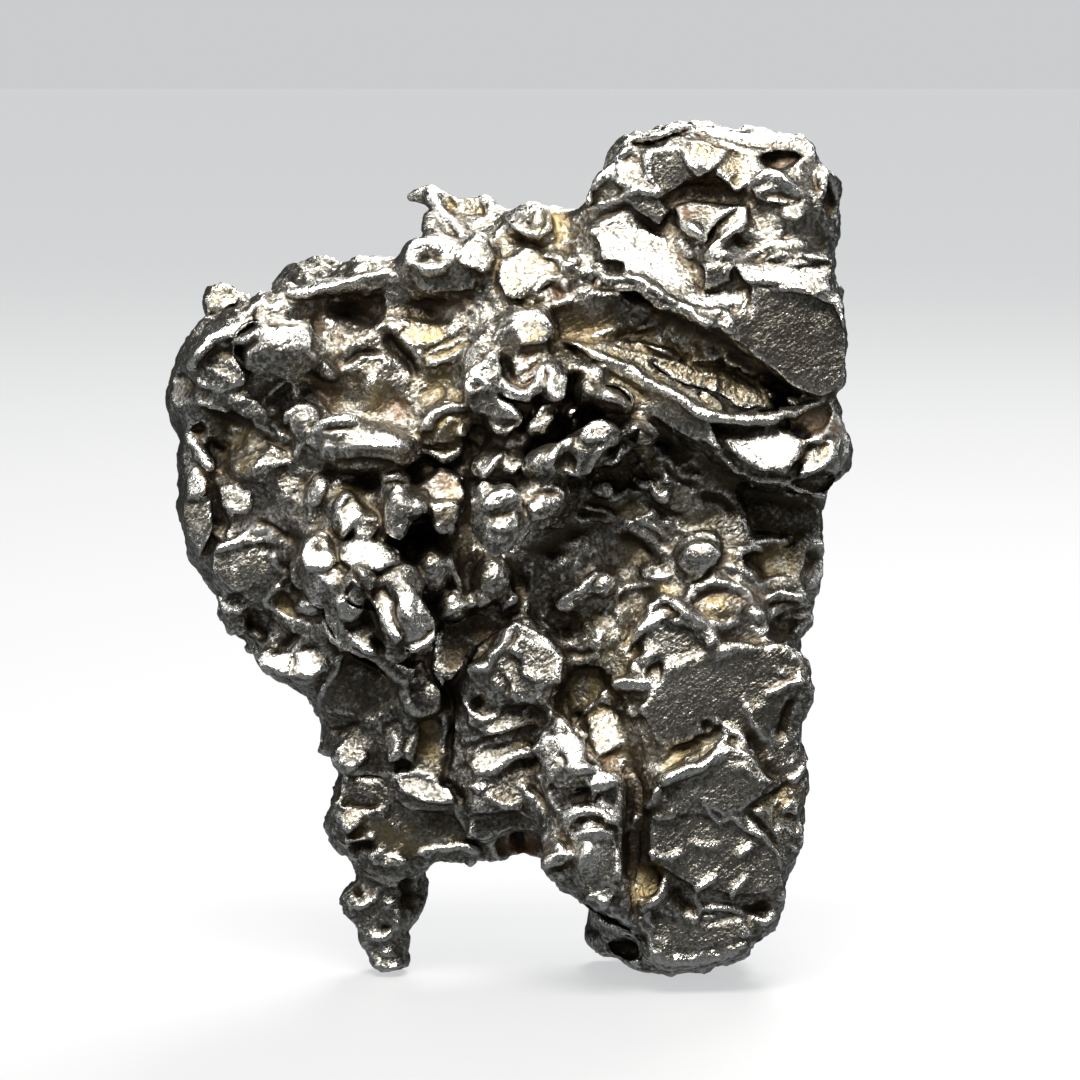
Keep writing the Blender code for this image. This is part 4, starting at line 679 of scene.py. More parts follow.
# GROOVES: cracks and shadowed slots, as (depth in mm, half width in pixels, points in view pixels).
GROOVES = {
    "under crown rim": (0.3, 3, (684, 137), (704, 137), (716, 141), (730, 150), (746, 156)),
    "crown recess": (0.4, 4, (764, 156), (786, 158), (800, 154)),
    "cave arch": (0.15, 6, (670, 200), (682, 190), (702, 186), (724, 192), (748, 198)),
    "left bar shade": (0.3, 3.5, (584, 220), (604, 214), (624, 208), (634, 214), (650, 226),
        (664, 234)),
    "brow shade": (0.25, 3, (760, 196), (778, 194), (796, 200)),
    "fin shade": (0.35, 3.5, (722, 246), (738, 240), (752, 246)),
    "block shade": (0.4, 3, (700, 290), (700, 276), (696, 262)),
    "shelf right shade": (0.3, 3, (743, 285), (748, 296), (750, 308)),
    "overhang": (0.35, 8, (646, 318), (672, 324), (700, 338), (728, 348), (752, 370), (782, 390),
        (812, 398)),
    "wall shade": (0.3, 3, (562, 339), (600, 336), (640, 332), (656, 330)),
    "ledge back": (0.3, 4, (760, 372), (780, 384), (790, 392)),
    "ledge face slot": (0.25, 3, (606, 372), (630, 386), (648, 400)),
    "ledge end slot": (0.4, 4, (780, 424), (796, 430), (812, 436)),
    "ledge ring slot": (0.25, 2.5, (795, 470), (806, 456), (812, 444)),
    "under ledge": (0.3, 10, (690, 456), (714, 472), (740, 492), (780, 500), (820, 512)),
    "under ledge left": (0.6, 7, (640, 424), (660, 440), (690, 456)),
    "shoulder crack": (0.35, 4, (258, 336), (248, 346), (236, 350), (222, 352)),
    "boulder crack": (0.3, 3.5, (262, 322), (276, 320), (296, 322), (312, 318)),
    "boulder right": (0.3, 4, (316, 312), (318, 330), (316, 350)),
    "shoulder slot": (0.5, 5, (196, 410), (214, 416), (236, 424), (256, 434)),
    "rim shade": (0.25, 3, (202, 440), (212, 448), (224, 454)),
    "claw shade": (0.3, 3, (262, 436), (280, 444), (292, 446)),
    "recess top": (0.4, 6, (322, 310), (350, 308), (378, 318)),
    "recess crack": (0.4, 4, (344, 366), (360, 352), (380, 352)),
    "bar shade": (0.35, 3.5, (320, 430), (340, 427), (358, 428)),
    "bar under": (0.4, 4, (330, 466), (360, 462), (400, 468)),
    "knob shade": (0.25, 8, (392, 306), (420, 306), (450, 308), (480, 294)),
    "slit": (0.6, 6, (384, 332), (394, 346), (408, 362), (418, 378)),
    "ring inner": (0.35, 4, (418, 258), (430, 254), (444, 258)),
    "ring mouth": (0.3, 3.5, (526, 222), (530, 228)),
    "ring shade": (0.5, 4, (508, 236), (524, 242), (548, 244)),
    "rust lens": (0.3, 3, (540, 290), (552, 284), (562, 294)),
    "plateau crack": (0.25, 2.5, (512, 300), (528, 306), (544, 300)),
    "crystal shade": (0.4, 4, (556, 338), (552, 348), (560, 352)),
    "crystal left shade": (0.4, 4, (500, 358), (506, 368), (510, 378)),
    "crystal loop shade": (0.3, 2.5, (474, 390), (480, 384)),
    "crystal drop": (0.3, 3, (538, 396), (536, 410), (528, 420)),
    "pale shade": (0.3, 3, (436, 424), (448, 414), (456, 414)),
    "pale crack": (0.35, 3.5, (466, 440), (474, 450), (470, 462)),
    "crystal foot shade": (0.3, 6, (470, 428), (486, 436), (500, 442), (514, 434), (528, 442)),
    "tongue shade": (0.6, 5, (560, 430), (580, 416), (600, 410), (625, 414)),
    "tongue slot": (0.35, 3.5, (566, 452), (572, 462), (572, 474)),
    "tongue gap": (0.3, 2.5, (596, 474), (606, 458), (616, 448)),
    "spike band": (0.3, 4, (488, 514), (500, 516), (516, 513)),
    "spike shoulder": (0.3, 5, (526, 498), (544, 490), (562, 494)),
    "spike side": (0.35, 3, (524, 500), (524, 514), (522, 530)),
    "prong band": (0.3, 2.5, (404, 518), (414, 518), (424, 517)),
    "gap low": (0.25, 9, (404, 546), (430, 540), (462, 548), (474, 580)),
    "gap mid": (0.25, 9, (520, 552), (548, 548), (572, 530), (592, 532)),
    "gap right": (0.5, 6, (616, 536), (640, 548), (664, 562)),
    "gap small": (0.4, 4, (580, 514), (596, 516), (610, 518)),
    "flank slot one": (0.35, 3.5, (644, 500), (662, 512), (684, 520)),
    "flank slot two": (0.4, 4, (664, 462), (678, 480), (700, 486)),
    "flank slot three": (0.4, 4, (700, 496), (720, 500), (736, 512)),
    "dome shade": (0.4, 4, (722, 540), (726, 556), (720, 566), (700, 580)),
    "pocket edge": (0.5, 4, (812, 548), (818, 560), (812, 572)),
    "pocket line": (0.3, 3, (746, 556), (760, 566), (766, 576)),
    "arc shade": (0.45, 5, (770, 606), (786, 604), (802, 606)),
    "right dark": (0.35, 4, (720, 634), (742, 636), (764, 640)),
    "chip shade": (0.4, 4, (566, 650), (580, 656), (594, 650)),
    "side crack": (0.5, 4, (213, 478), (214, 500), (218, 522), (210, 545)),
    "plate shade": (0.35, 4, (254, 520), (272, 530), (290, 540)),
    "side crack low": (0.4, 5, (250, 622), (262, 632), (258, 644)),
    "jag shade": (0.3, 3, (282, 566), (288, 580), (284, 590)),
    "pit line": (0.3, 3, (286, 606), (296, 616), (312, 618), (322, 616)),
    "boulder gap": (0.5, 4, (298, 540), (294, 570), (294, 600)),
    "boulder dimple": (0.3, 4, (316, 544), (322, 546)),
    "lobe gap one": (0.5, 4, (344, 566), (358, 578), (368, 592), (370, 612), (376, 634),
        (382, 650)),
    "lobe gap two": (0.35, 3, (384, 590), (394, 602), (396, 620), (404, 640)),
    "lobe serration": (0.3, 3, (364, 610), (366, 622), (372, 634)),
    "rim shade low": (0.35, 3.5, (326, 640), (336, 654), (350, 655), (368, 662), (386, 676)),
    "foot bright crack": (0.25, 2.5, (292, 652), (294, 666), (292, 678)),
    "foot bright shade": (0.4, 4, (272, 652), (286, 640), (300, 636)),
    "black gap": (0.2, 12, (446, 640), (456, 660), (470, 640)),
    "centre crack": (0.6, 4, (446, 680), (450, 700), (450, 724), (447, 750), (444, 778)),
    "crystal hollow": (0.45, 6, (472, 700), (480, 708)),
    "crystal slots": (0.3, 3, (500, 672), (510, 684), (506, 694)),
    "plate curve": (0.3, 3, (462, 748), (478, 742), (500, 738), (520, 729), (540, 728)),
    "slab gap": (0.5, 4, (396, 770), (404, 766), (412, 768)),
    "slab gap right": (0.5, 4, (440, 782), (452, 786), (460, 804)),
    "left crack": (0.4, 4, (330, 762), (334, 780), (334, 796), (324, 810)),
    "left crack low": (0.35, 3.5, (344, 804), (362, 806), (378, 804)),
    "low hole": (0.6, 6, (350, 852), (362, 846), (372, 848)),
    "lump shade": (0.35, 3, (332, 730), (346, 728), (356, 724)),
    "rust pit": (0.6, 8, (512, 846), (524, 842)),
    "blade shade": (0.5, 4, (572, 724), (584, 744), (594, 762), (612, 770)),
    "blade edge shade": (0.3, 2.6, (626, 762), (638, 780), (640, 812), (636, 850), (632, 886),
        (636, 908), (646, 926)),
    "blade slot one": (0.35, 3, (566, 764), (560, 752)),
    "blade slot two": (0.22, 3.4, (570, 798), (586, 794), (592, 788)),
    "blade ring slot": (0.25, 3.4, (574, 824), (588, 816), (604, 820)),
    "blade left slot": (0.3, 3, (530, 786), (540, 798), (548, 812)),
    "blade bottom slot": (0.3, 3, (548, 872), (562, 870), (570, 866)),
    "channel": (0.12, 6, (624, 750), (634, 770), (630, 800), (626, 830), (622, 860), (626, 890),
        (634, 910)),
    "facet hollow": (0.5, 5, (704, 722), (712, 730)),
    "facet shade": (0.4, 4, (670, 754), (690, 744), (712, 736), (726, 722)),
    "right channel": (0.5, 5, (746, 730), (760, 746), (768, 762), (780, 782)),
    "right crack": (0.35, 3, (748, 812), (762, 802), (776, 794), (790, 780)),
    "right crack low": (0.45, 4, (748, 812), (762, 824), (772, 836), (782, 850)),
    "right side slot": (0.5, 5, (794, 700), (786, 716), (780, 738)),
    "dark wedge": (0.5, 6, (672, 888), (682, 904), (692, 912)),
    "bottom shade": (0.4, 4, (742, 910), (756, 912), (768, 904)),
    "low nook": (0.4, 6, (606, 946), (622, 950), (636, 950)),
    "low left nook": (0.4, 4, (584, 928), (596, 936)),
    "foot dark": (0.5, 6, (404, 882), (412, 894), (406, 908)),
    "foot hole": (0.4, 4, (380, 926), (390, 930)),
    "foot neck": (0.4, 4, (352, 884), (362, 896)),
}

# DOMES and PITS: beads and hollows, as (height or depth in mm, middle and half sizes in view
# pixels, clockwise turn in degrees).
DOMES = {
    "shelf bead": (0.25, (615, 272), (6, 4), 0),
    "crown hollow dot": (0.3, (820, 209), (5, 7), 0),
    "crown bead": (0.25, (700, 245), (6, 8), 20),
    "cave lumps": (0.25, (690, 232), (8, 6), 20),
    "small ring core": (0.25, (538, 222), (7, 9), 0),
    "shoulder dot": (0.2, (332, 322), (5, 5), 0),
    "grey dome": (0.35, (300, 416), (15, 13), 0),
    "brown lump": (0.35, (374, 386), (13, 18), 0),
    "spike lens": (0.25, (536, 510), (9, 7), -20),
    "prong head": (0.35, (414, 508), (12, 9), 0),
    "flank dome": (0.35, (700, 556), (20, 16), -15),
    "bead": (0.45, (757, 616), (8, 8), 0),
    "pit island": (0.3, (718, 608), (13, 9), 0),
    "lump one": (0.25, (306, 470), (11, 8), 0),
    "knob left low": (0.3, (320, 750), (9, 10), 0),
    "middle knob": (0.3, (424, 698), (16, 18), 0),
    "blade lens": (0.3, (588, 858), (8, 14), 10),
    "blade bead": (0.3, (602, 903), (8, 6), 0),
    "bottom dot": (0.3, (781, 897), (4, 5), 0),
    "facet bead": (0.2, (722, 650), (10, 8), 0),
    "foot bit": (0.25, (390, 904), (8, 6), 0),
    "arch lens": (0.25, (470, 876), (10, 4), -20),
    "boulder low": (0.25, (312, 606), (14, 9), 0),
    "hook bead": (0.25, (489, 197), (8, 5), 15),
}
PITS = {
    "crown hollow": (0.35, (822, 212), (14, 20), 0),
    "shelf hollow": (0.35, (613, 270), (12, 7), 0),
    "crown dot": (0.25, (736, 180), (4, 4), 0),
    "shoulder pit": (0.6, (226, 434), (24, 14), 20),
    "knob dot": (0.3, (214, 312), (5, 4), 0),
    "black hole": (0.15, (428, 308), (34, 10), 0),
    "tongue spot": (0.3, (566, 464), (8, 9), 0),
    "pocket": (0.3, (780, 562), (34, 18), -8),
    "round pit": (0.05, (716, 604), (30, 20), 0),
    "side pit": (0.4, (282, 602), (9, 9), 0),
    "left recess": (0.25, (352, 340), (34, 32), 0),
    "gold pit": (0.15, (648, 880), (16, 18), 0),
    "rust pit": (0.3, (514, 846), (20, 13), 0),
    "olive nook": (0.3, (636, 555), (12, 16), 0),
    "left low pit": (0.3, (430, 742), (12, 24), 0),
}

# STAINS: what oxide tints, as (tint, strength, middle and half sizes in view pixels, clockwise
# turn in degrees). The brown ones are partly painted shade, laid on recesses and shaded faces.
STAINS = {
    "crown crystal": ("gold", 0.7, (704, 152), (14, 12), 0),
    "crown pale": ("gold", 0.4, (732, 170), (16, 18), 0),
    "cave floor": ("rust", 0.8, (688, 210), (14, 9), 0),
    "cave right": ("gold", 0.4, (712, 208), (8, 10), 0),
    "crown recess": ("rust", 0.6, (782, 158), (18, 8), 0),
    "fin": ("gold", 0.35, (738, 216), (12, 12), 0),
    "brown wall": ("brown", 0.8, (606, 316), (52, 24), 0),
    "ledge floor": ("gold", 0.5, (690, 378), (110, 30), 20),
    "ledge floor left": ("gold", 0.5, (600, 350), (40, 12), 15),
    "ledge end": ("rust", 0.8, (824, 424), (18, 12), 0),
    "ledge ring": ("gold", 0.4, (824, 450), (10, 14), 0),
    "skirt": ("brown", 0.3, (800, 350), (48, 45), 0),
    "knob behind": ("gold", 0.35, (222, 300), (26, 16), 0),
    "shoulder pit": ("olive", 0.8, (236, 434), (26, 14), 20),
    "shoulder low": ("gold", 0.8, (240, 464), (14, 16), 0),
    "left recess": ("brown", 0.6, (352, 350), (40, 44), 0),
    "recess gold": ("gold", 0.8, (374, 395), (12, 14), 0),
    "recess orange": ("rust", 0.7, (396, 410), (14, 14), 0),
    "recess rust": ("rust", 0.4, (322, 396), (14, 12), 0),
    "hook gold": ("gold", 0.6, (466, 206), (18, 12), 30),
    "small ring": ("gold", 0.6, (538, 222), (9, 12), 0),
    "top texture": ("gold", 0.5, (556, 222), (16, 22), 0),
    "plateau": ("gold", 0.45, (524, 262), (34, 24), 0),
    "plateau low": ("olive", 0.4, (506, 306), (26, 18), -25),
    "rust lens": ("rust", 0.6, (556, 292), (13, 13), 0),
    "gold crystals": ("gold", 0.85, (420, 334), (24, 14), 0),
    "bars": ("gold", 0.5, (448, 356), (28, 14), -15),
    "bars low": ("olive", 0.5, (440, 384), (26, 18), 0),
    "crystal head": ("gold", 0.5, (530, 338), (18, 16), 0),
    "crystal stripes": ("rust", 0.35, (526, 366), (16, 18), 0),
    "pale crystal": ("gold", 0.5, (448, 436), (22, 22), 0),
    "wedge top": ("brown", 0.7, (438, 478), (28, 16), 0),
    "wedge rust": ("rust", 0.5, (440, 484), (20, 10), 0),
    "wedge": ("gold", 0.4, (456, 500), (12, 14), 0),
    "gap orange": ("rust", 0.85, (528, 442), (18, 8), 0),
    "olive hollow": ("olive", 0.5, (552, 446), (14, 12), 0),
    "right gold": ("gold", 0.7, (614, 398), (18, 14), 20),
    "under ledge": ("gold", 0.6, (638, 448), (10, 8), 0),
    "flank olive": ("olive", 0.6, (648, 466), (36, 14), 0),
    "flank gold": ("gold", 0.35, (630, 508), (18, 10), 0),
    "flank right": ("olive", 0.6, (706, 506), (30, 26), 0),
    "pocket": ("gold", 0.5, (776, 560), (36, 22), 0),
    "olive nook": ("gold", 0.8, (632, 556), (14, 14), 0),
    "nook brown": ("brown", 0.6, (600, 560), (30, 18), 0),
    "round pit": ("brown", 0.9, (716, 602), (36, 22), 0),
    "pit island": ("gold", 0.8, (716, 608), (14, 9), 0),
    "pit right": ("rust", 0.5, (752, 596), (14, 10), 0),
    "chip": ("gold", 0.5, (664, 588), (14, 10), 0),
    "side pit": ("gold", 0.7, (284, 604), (9, 8), 0),
    "side brown": ("rust", 0.5, (262, 520), (34, 12), 0),
    "side brown low": ("brown", 0.6, (286, 552), (18, 16), 0),
    "lobe gold": ("olive", 0.4, (390, 556), (14, 10), 0),
    "lobe top": ("gold", 0.5, (350, 494), (20, 10), 0),
    "brown slope": ("brown", 0.7, (366, 690), (38, 30), 0),
    "middle knob": ("brown", 0.5, (430, 698), (20, 18), 0),
    "alcove": ("gold", 0.6, (430, 742), (14, 26), 0),
    "gap rust": ("rust", 0.5, (494, 634), (14, 14), 0),
    "olive chips": ("olive", 0.75, (590, 688), (34, 28), -40),
    "olive chips high": ("olive", 0.5, (620, 655), (22, 20), 0),
    "facet top": ("olive", 0.35, (610, 620), (30, 16), 0),
    "textured": ("gold", 0.4, (604, 734), (20, 22), 0),
    "textured foot": ("rust", 0.5, (606, 756), (18, 8), 0),
    "olive step": ("olive", 0.8, (682, 755), (30, 10), -20),
    "notch": ("brown", 0.7, (646, 788), (12, 12), 0),
    "plate": ("olive", 0.35, (500, 750), (34, 14), -15),
    "plate brown": ("brown", 0.4, (540, 718), (24, 14), 0),
    "slope": ("brown", 0.7, (420, 824), (40, 16), 10),
    "low gold": ("gold", 0.6, (390, 836), (40, 14), 20),
    "arch gold": ("gold", 0.5, (440, 842), (30, 8), 0),
    "rust pit": ("rust", 0.9, (520, 846), (22, 14), 0),
    "channel": ("brown", 0.6, (630, 830), (11, 76), 0),
    "blade low": ("olive", 0.4, (584, 866), (16, 26), 0),
    "blade rust": ("rust", 0.4, (544, 850), (10, 12), 0),
    "gold pit": ("gold", 0.9, (650, 882), (16, 18), 0),
    "pit rust": ("rust", 0.6, (640, 872), (10, 12), 0),
    "right rust": ("rust", 0.4, (772, 896), (16, 10), 0),
    "right olive": ("olive", 0.5, (766, 810), (22, 14), 0),
    "right gold low": ("gold", 0.4, (790, 792), (14, 12), 0),
    "facet": ("brown", 0.25, (720, 700), (80, 50), 0),
    "foot brown": ("brown", 0.5, (366, 890), (20, 12), 0),
    "left band": ("gold", 0.3, (196, 518), (14, 14), 0),
    "lump brown": ("brown", 0.4, (326, 720), (18, 12), 0),
}

# LUMPS: round crystals and beads set on the surface, as (lift of the middle and depth in mm,
# middle and half sizes in view pixels, clockwise turn in degrees).
LUMPS = {
    # Centre
    "nub head": (-0.3, 1.2, (501, 520), (21, 36), 9),
    "nub head brow": (-0.1, 0.9, (504, 500), (19, 13), -4),
    "nub head foot": (-0.1, 0.8, (498, 540), (15, 12), 6),
    "nub shank": (0.0, 1.3, (540, 500), (26, 21), -28),
    "nub left rim": (0.0, 0.9, (484, 508), (12, 28), 6),
    "brow knob": (0.2, 1.0, (500, 464), (30, 15), -3),
    "tongue body": (0.3, 1.3, (584, 452), (42, 19), -30),
    "tongue crown": (0.9, 1.0, (597, 434), (22, 13), -22),
    "second nub head": (0.8, 0.9, (411, 509), (12, 11), 20),
    "second nub body": (0.4, 1.0, (398, 512), (13, 28), 0),
    "second nub cap": (0.3, 0.8, (394, 477), (17, 9), 4),
    "wedge foot": (0.2, 0.8, (444, 516), (13, 18), 8),
    "sliver": (0.6, 0.7, (454, 568), (6, 24), -13),
    "gap stone": (0.5, 0.7, (478, 601), (16, 8), 0),
    "gap stone right": (0.4, 0.7, (508, 600), (11, 9), -20),
    "small bar": (0.6, 0.8, (582, 588), (26, 8), -34),
    "small bar head": (0.5, 0.8, (604, 584), (12, 15), 0),
    "black gap bead": (0.4, 0.6, (603, 490), (11, 8), -10),
    "black gap bead low": (0.4, 0.6, (598, 513), (18, 8), 14),
    "crystal left lobe": (0.4, 1.1, (484, 388), (18, 27), 12),
    "crystal right lobe": (0.4, 1.1, (552, 385), (14, 24), 0),
    "crystal low lobe": (0.4, 1.0, (541, 416), (15, 20), 10),
    "crystal low spike": (0.4, 0.9, (504, 418), (16, 16), 0),
    # Left centre: the bright lobes
    "lobe one": (0.3, 1.1, (320, 570), (21, 33), -4),
    "lobe one foot": (0.2, 0.8, (311, 604), (13, 12), 0),
    "lobe two": (0.3, 1.0, (350, 616), (22, 34), -26),
    "lobe three": (0.4, 1.2, (384, 612), (22, 38), -20),
    "lobe four": (0.4, 1.2, (410, 620), (21, 38), -24),
    "lobe shoulder": (0.5, 1.2, (398, 584), (26, 20), 10),
    "lobe bridge": (0.3, 1.0, (370, 556), (32, 17), 16),
    "lobe bridge end": (0.3, 0.9, (402, 572), (15, 14), 0),
    "lobe head": (0.3, 0.9, (362, 524), (19, 15), 0),
    "lobe brow": (0.2, 0.9, (344, 512), (12, 22), 14),
    "lobe left top": (0.2, 0.8, (318, 492), (12, 20), 24),
    # Left side
    "left bead": (0.1, 1.0, (236, 614), (17, 22), -24),
    "tail bright": (0.3, 0.9, (308, 660), (20, 19), -10),
    "tail bright left": (0.3, 0.9, (276, 662), (18, 15), 20),
    "left slab": (0.1, 1.0, (244, 566), (32, 24), -12),
    "left rim": (0.1, 1.0, (198, 505), (14, 42), -3),
    "left dark knob": (0.2, 0.9, (240, 500), (19, 17), 0),
    "shoulder boulder": (0.5, 1.7, (278, 348), (44, 30), 4),
    "shoulder boulder head": (0.5, 1.1, (292, 335), (24, 16), 10),
    "shoulder spur": (0.4, 0.8, (318, 366), (24, 9), 38),
    "shoulder slope": (0.3, 1.2, (218, 352), (34, 26), -38),
    "shoulder rim roll": (0.4, 1.0, (226, 330), (38, 12), -34),
    "shoulder far roll": (0.3, 0.9, (330, 288), (56, 10), -8),
    "level bar": (0.6, 1.6, (364, 446), (56, 25), 6),
    "level bar top": (1.1, 1.1, (340, 430), (30, 14), -4),
    "level bar right": (1.2, 1.0, (386, 442), (28, 13), 12),
    "gold rock": (1.2, 2.0, (612, 400), (22, 15), 20),
    "gold rock left": (1.2, 2.0, (588, 392), (14, 20), 0),
    "gold rock low": (1.0, 1.8, (640, 432), (20, 13), 20),
    "gold rock foot": (1.0, 1.6, (572, 418), (12, 15), 0),
    "blade body": (0.3, 1.2, (592, 850), (24, 44), 4),
    "blade top": (0.5, 1.1, (566, 762), (24, 30), -30),
    "blade brow": (0.5, 0.9, (596, 782), (22, 9), 10),
    "blade arc": (0.6, 0.9, (590, 818), (26, 10), 0),
    "blade heel": (0.3, 1.0, (560, 862), (18, 20), 0),
    "blade flank top": (0.4, 1.1, (618, 800), (9, 34), 0),
    "blade flank": (0.4, 1.1, (619, 846), (9, 40), 0),
    "blade flank foot": (0.4, 1.1, (622, 890), (10, 26), -8),
    "ledge crystal": (0.5, 0.9, (652, 352), (28, 8), 14),
    "ledge crystal right": (0.6, 1.0, (712, 372), (26, 9), 22),
    "ledge crystal end": (0.6, 1.0, (756, 392), (22, 8), 18),
    "foot leg": (-0.2, 1.3, (364, 902), (24, 26), 0),
    "foot ankle": (-0.3, 1.1, (377, 930), (21, 24), 10),
    "foot toe": (-0.1, 1.0, (386, 956), (15, 19), 6),
    "level bar left": (0.3, 0.9, (306, 428), (16, 16), 0),
    "lobe bed": (0.9, 1.6, (337, 584), (14, 26), -8),
    "lobe bed top": (0.8, 1.4, (352, 562), (15, 14), 0),
    "lobe bed right": (0.9, 1.4, (413, 552), (16, 16), 0),
    "lobe bed deep": (2.0, 2.2, (360, 586), (17, 22), 0),
    "gap rock": (1.4, 2.2, (432, 566), (22, 30), 10),
    "gap rock low": (1.0, 1.8, (452, 604), (22, 20), 0),
    "gap rock right": (1.0, 1.8, (492, 580), (22, 24), 0),
    "cave rock": (1.0, 1.8, (548, 462), (26, 18), -20),
    "cave rock left": (1.0, 1.6, (516, 440), (20, 14), 0),
}

# CALM: parts of the skin that stay smooth between their named faces, as (middle, half sizes, turn).
CALM = {
    "big facet": ((706, 730), (70, 120), 0),
    "big facet foot": ((700, 880), (90, 70), 0),
    "crown skirt": ((795, 345), (60, 55), 0),
    "shelf": ((650, 265), (70, 30), 28),
    "ledge face": ((690, 410), (110, 26), 28),
    "ledge end": ((800, 455), (50, 36), 0),
    "blade": ((585, 820), (36, 110), 0),
    "plate": ((505, 785), (60, 34), -22),
    "slab": ((420, 792), (42, 24), 8),
    "slope": ((430, 828), (50, 20), 10),
    "ledge panel left": ((362, 790), (34, 24), 0),
    "left foot": ((376, 920), (40, 60), 0),
    "middle crystal": ((505, 690), (50, 50), 0),
    "brown slope": ((370, 700), (44, 36), 0),
    "left slab": ((244, 566), (34, 26), -12),
    "crown right": ((815, 200), (30, 70), 0),
    "shoulder": ((230, 360), (70, 50), -20),
}

# Places rubbed clean and bright by wear, with highlights painted on where light strikes their
# upward faces, as (strength, middle, half sizes, turn).
POLISH_AND_HIGHLIGHT = {
    "shelf": (0.65, (640, 262), (62, 24), 28),
    "shelf right": (0.9, (715, 300), (36, 9), 0),
    "crown band": (0.8, (790, 274), (44, 11), 0),
    "crown top": (0.8, (735, 132), (76, 10), 3),
    "crown left": (0.8, (636, 160), (26, 10), -24),
    "crown hook": (0.7, (730, 215), (26, 12), -50),
    "ledge crest": (0.9, (660, 388), (110, 7), 25),
    "ledge panel": (1, (758, 444), (46, 22), 14),
    "ledge top": (0.8, (805, 402), (24, 9), 0),
    "shoulder rim": (0.9, (222, 334), (44, 12), -32),
    "shoulder far rim": (0.7, (330, 288), (60, 8), -8),
    "shoulder boulder": (0.9, (284, 336), (34, 12), 5),
    "left rim": (0.6, (196, 480), (12, 70), 0),
    "level bar": (0.8, (384, 442), (30, 8), 8),
    "lobe bridge": (0.7, (370, 552), (36, 16), 16),
    "lobe head": (0.9, (362, 520), (20, 15), 0),
    "lobe one": (0.7, (320, 568), (18, 32), 0),
    "lobe two": (0.8, (350, 612), (20, 34), -26),
    "lobe three": (0.8, (386, 610), (20, 38), -20),
    "lobe four": (0.8, (412, 618), (16, 38), -22),
    "tail": (1, (298, 662), (38, 16), -5),
    "plateau": (0.6, (520, 262), (34, 20), 0),
    "ring knob": (0.7, (446, 250), (46, 14), 0),
    "spike": (0.7, (470, 372), (20, 30), 20),
    "textured facet": (0.65, (604, 726), (22, 24), 0),
    "stair": (0.9, (632, 684), (28, 8), 0),
    "facet corner": (0.9, (652, 620), (26, 14), -20),
    "long ridge": (0.9, (695, 768), (46, 7), -25),
    "blade head": (0.9, (572, 748), (28, 20), 40),
    "blade body": (0.7, (596, 840), (18, 44), 4),
    "blade arc": (0.9, (590, 816), (26, 9), 0),
    "blade hook": (0.9, (596, 778), (22, 8), 8),
    "plate ridge": (0.7, (505, 768), (44, 10), -20),
    "bottom rim": (0.9, (690, 958), (60, 8), -5),
    "right bits": (0.7, (768, 918), (16, 8), 0),
    "slab edge": (0.6, (360, 772), (30, 7), 4),
    "left foot": (0.6, (380, 882), (30, 10), 10),
}

def camera_axes():
    """The camera's place, and its right, up and forward directions."""
    forward = np.array((0.0, math.cos(CAMERA_PITCH), -math.sin(CAMERA_PITCH)))
    right = np.array((1.0, 0.0, 0.0))
    place = np.array(CAMERA_TARGET) - forward * CAMERA_DISTANCE
    return place, right, np.cross(right, forward), forward


EYE, RIGHT, UP, FORWARD = camera_axes()


def project(points):
    """Where points fall in the view, as columns and rows in pixels, and how far ahead they are."""
    rel = points - EYE
    ahead = rel @ FORWARD
    columns = VIEW / 2 + FOCAL_PX * (rel @ RIGHT) / ahead
    rows = VIEW / 2 - FOCAL_PX * (rel @ UP) / ahead
    return columns, rows, ahead


def sight(u, v):
    """The direction from the camera through this pixel."""
    way = FORWARD + RIGHT * (u - VIEW / 2) / FOCAL_PX + UP * (VIEW / 2 - v) / FOCAL_PX
    return way / np.linalg.norm(way)


def mesh_from(points, faces):
    """A mesh of these points and of faces that all have the same number of corners."""
    count, corners = faces.shape
    mesh = bpy.data.meshes.new("iron")
    mesh.vertices.add(len(points))
    mesh.vertices.foreach_set("co", np.ascontiguousarray(points, np.float32).ravel())
    mesh.loops.add(count * corners)
    mesh.loops.foreach_set("vertex_index", np.ascontiguousarray(faces, np.int32).ravel())
    mesh.polygons.add(count)
    starts = np.arange(0, count * corners, corners, dtype=np.int32)
    mesh.polygons.foreach_set("loop_start", starts)
    mesh.update(calc_edges=True)
    return mesh


def column_of(items, name, width, kind):
    """One property of many mesh elements, as rows of this width."""
    values = np.empty(len(items) * width, kind)
    items.foreach_get(name, values)
    return values.reshape(-1, width)


def points_of(mesh):
    return column_of(mesh.vertices, "co", 3, np.float32).astype(np.float64)


def normals_of(mesh):
    return column_of(mesh.vertex_normals, "vector", 3, np.float32).astype(np.float64)


def quads_of(mesh):
    return column_of(mesh.loops, "vertex_index", 1, np.int32).reshape(-1, 4)


def tree_of(points, faces):
    """What a ray is cast against: these points and faces."""
    return BVHTree.FromPolygons([tuple(p) for p in points.tolist()], faces)


def unit(vectors):
    return vectors / np.linalg.norm(vectors, axis=1)[:, None]


def along_normals(vectors, normals):
    """How far each vector goes along its normal."""
    return np.einsum("ij,ij->i", vectors, normals)


def evaluated(mesh, kind, weights=None, **settings):
    """A new mesh: this one under one modifier, which the weights steer."""
    holder = bpy.data.objects.new("holder", mesh)
    bpy.context.scene.collection.objects.link(holder)
    modifier = holder.modifiers.new(kind, kind)
    if weights is not None:
        group = holder.vertex_groups.new(name="keep")
        for step in range(KEEP_STEPS + 1):
            chosen = np.flatnonzero(np.round(weights * KEEP_STEPS) == step)
            group.add(chosen.tolist(), step / KEEP_STEPS, "REPLACE")
        modifier.vertex_group = group.name
    for name, value in settings.items():
        setattr(modifier, name, value)
    graph = bpy.context.evaluated_depsgraph_get()
    made = bpy.data.meshes.new_from_object(holder.evaluated_get(graph))
    bpy.data.objects.remove(holder)
    return made


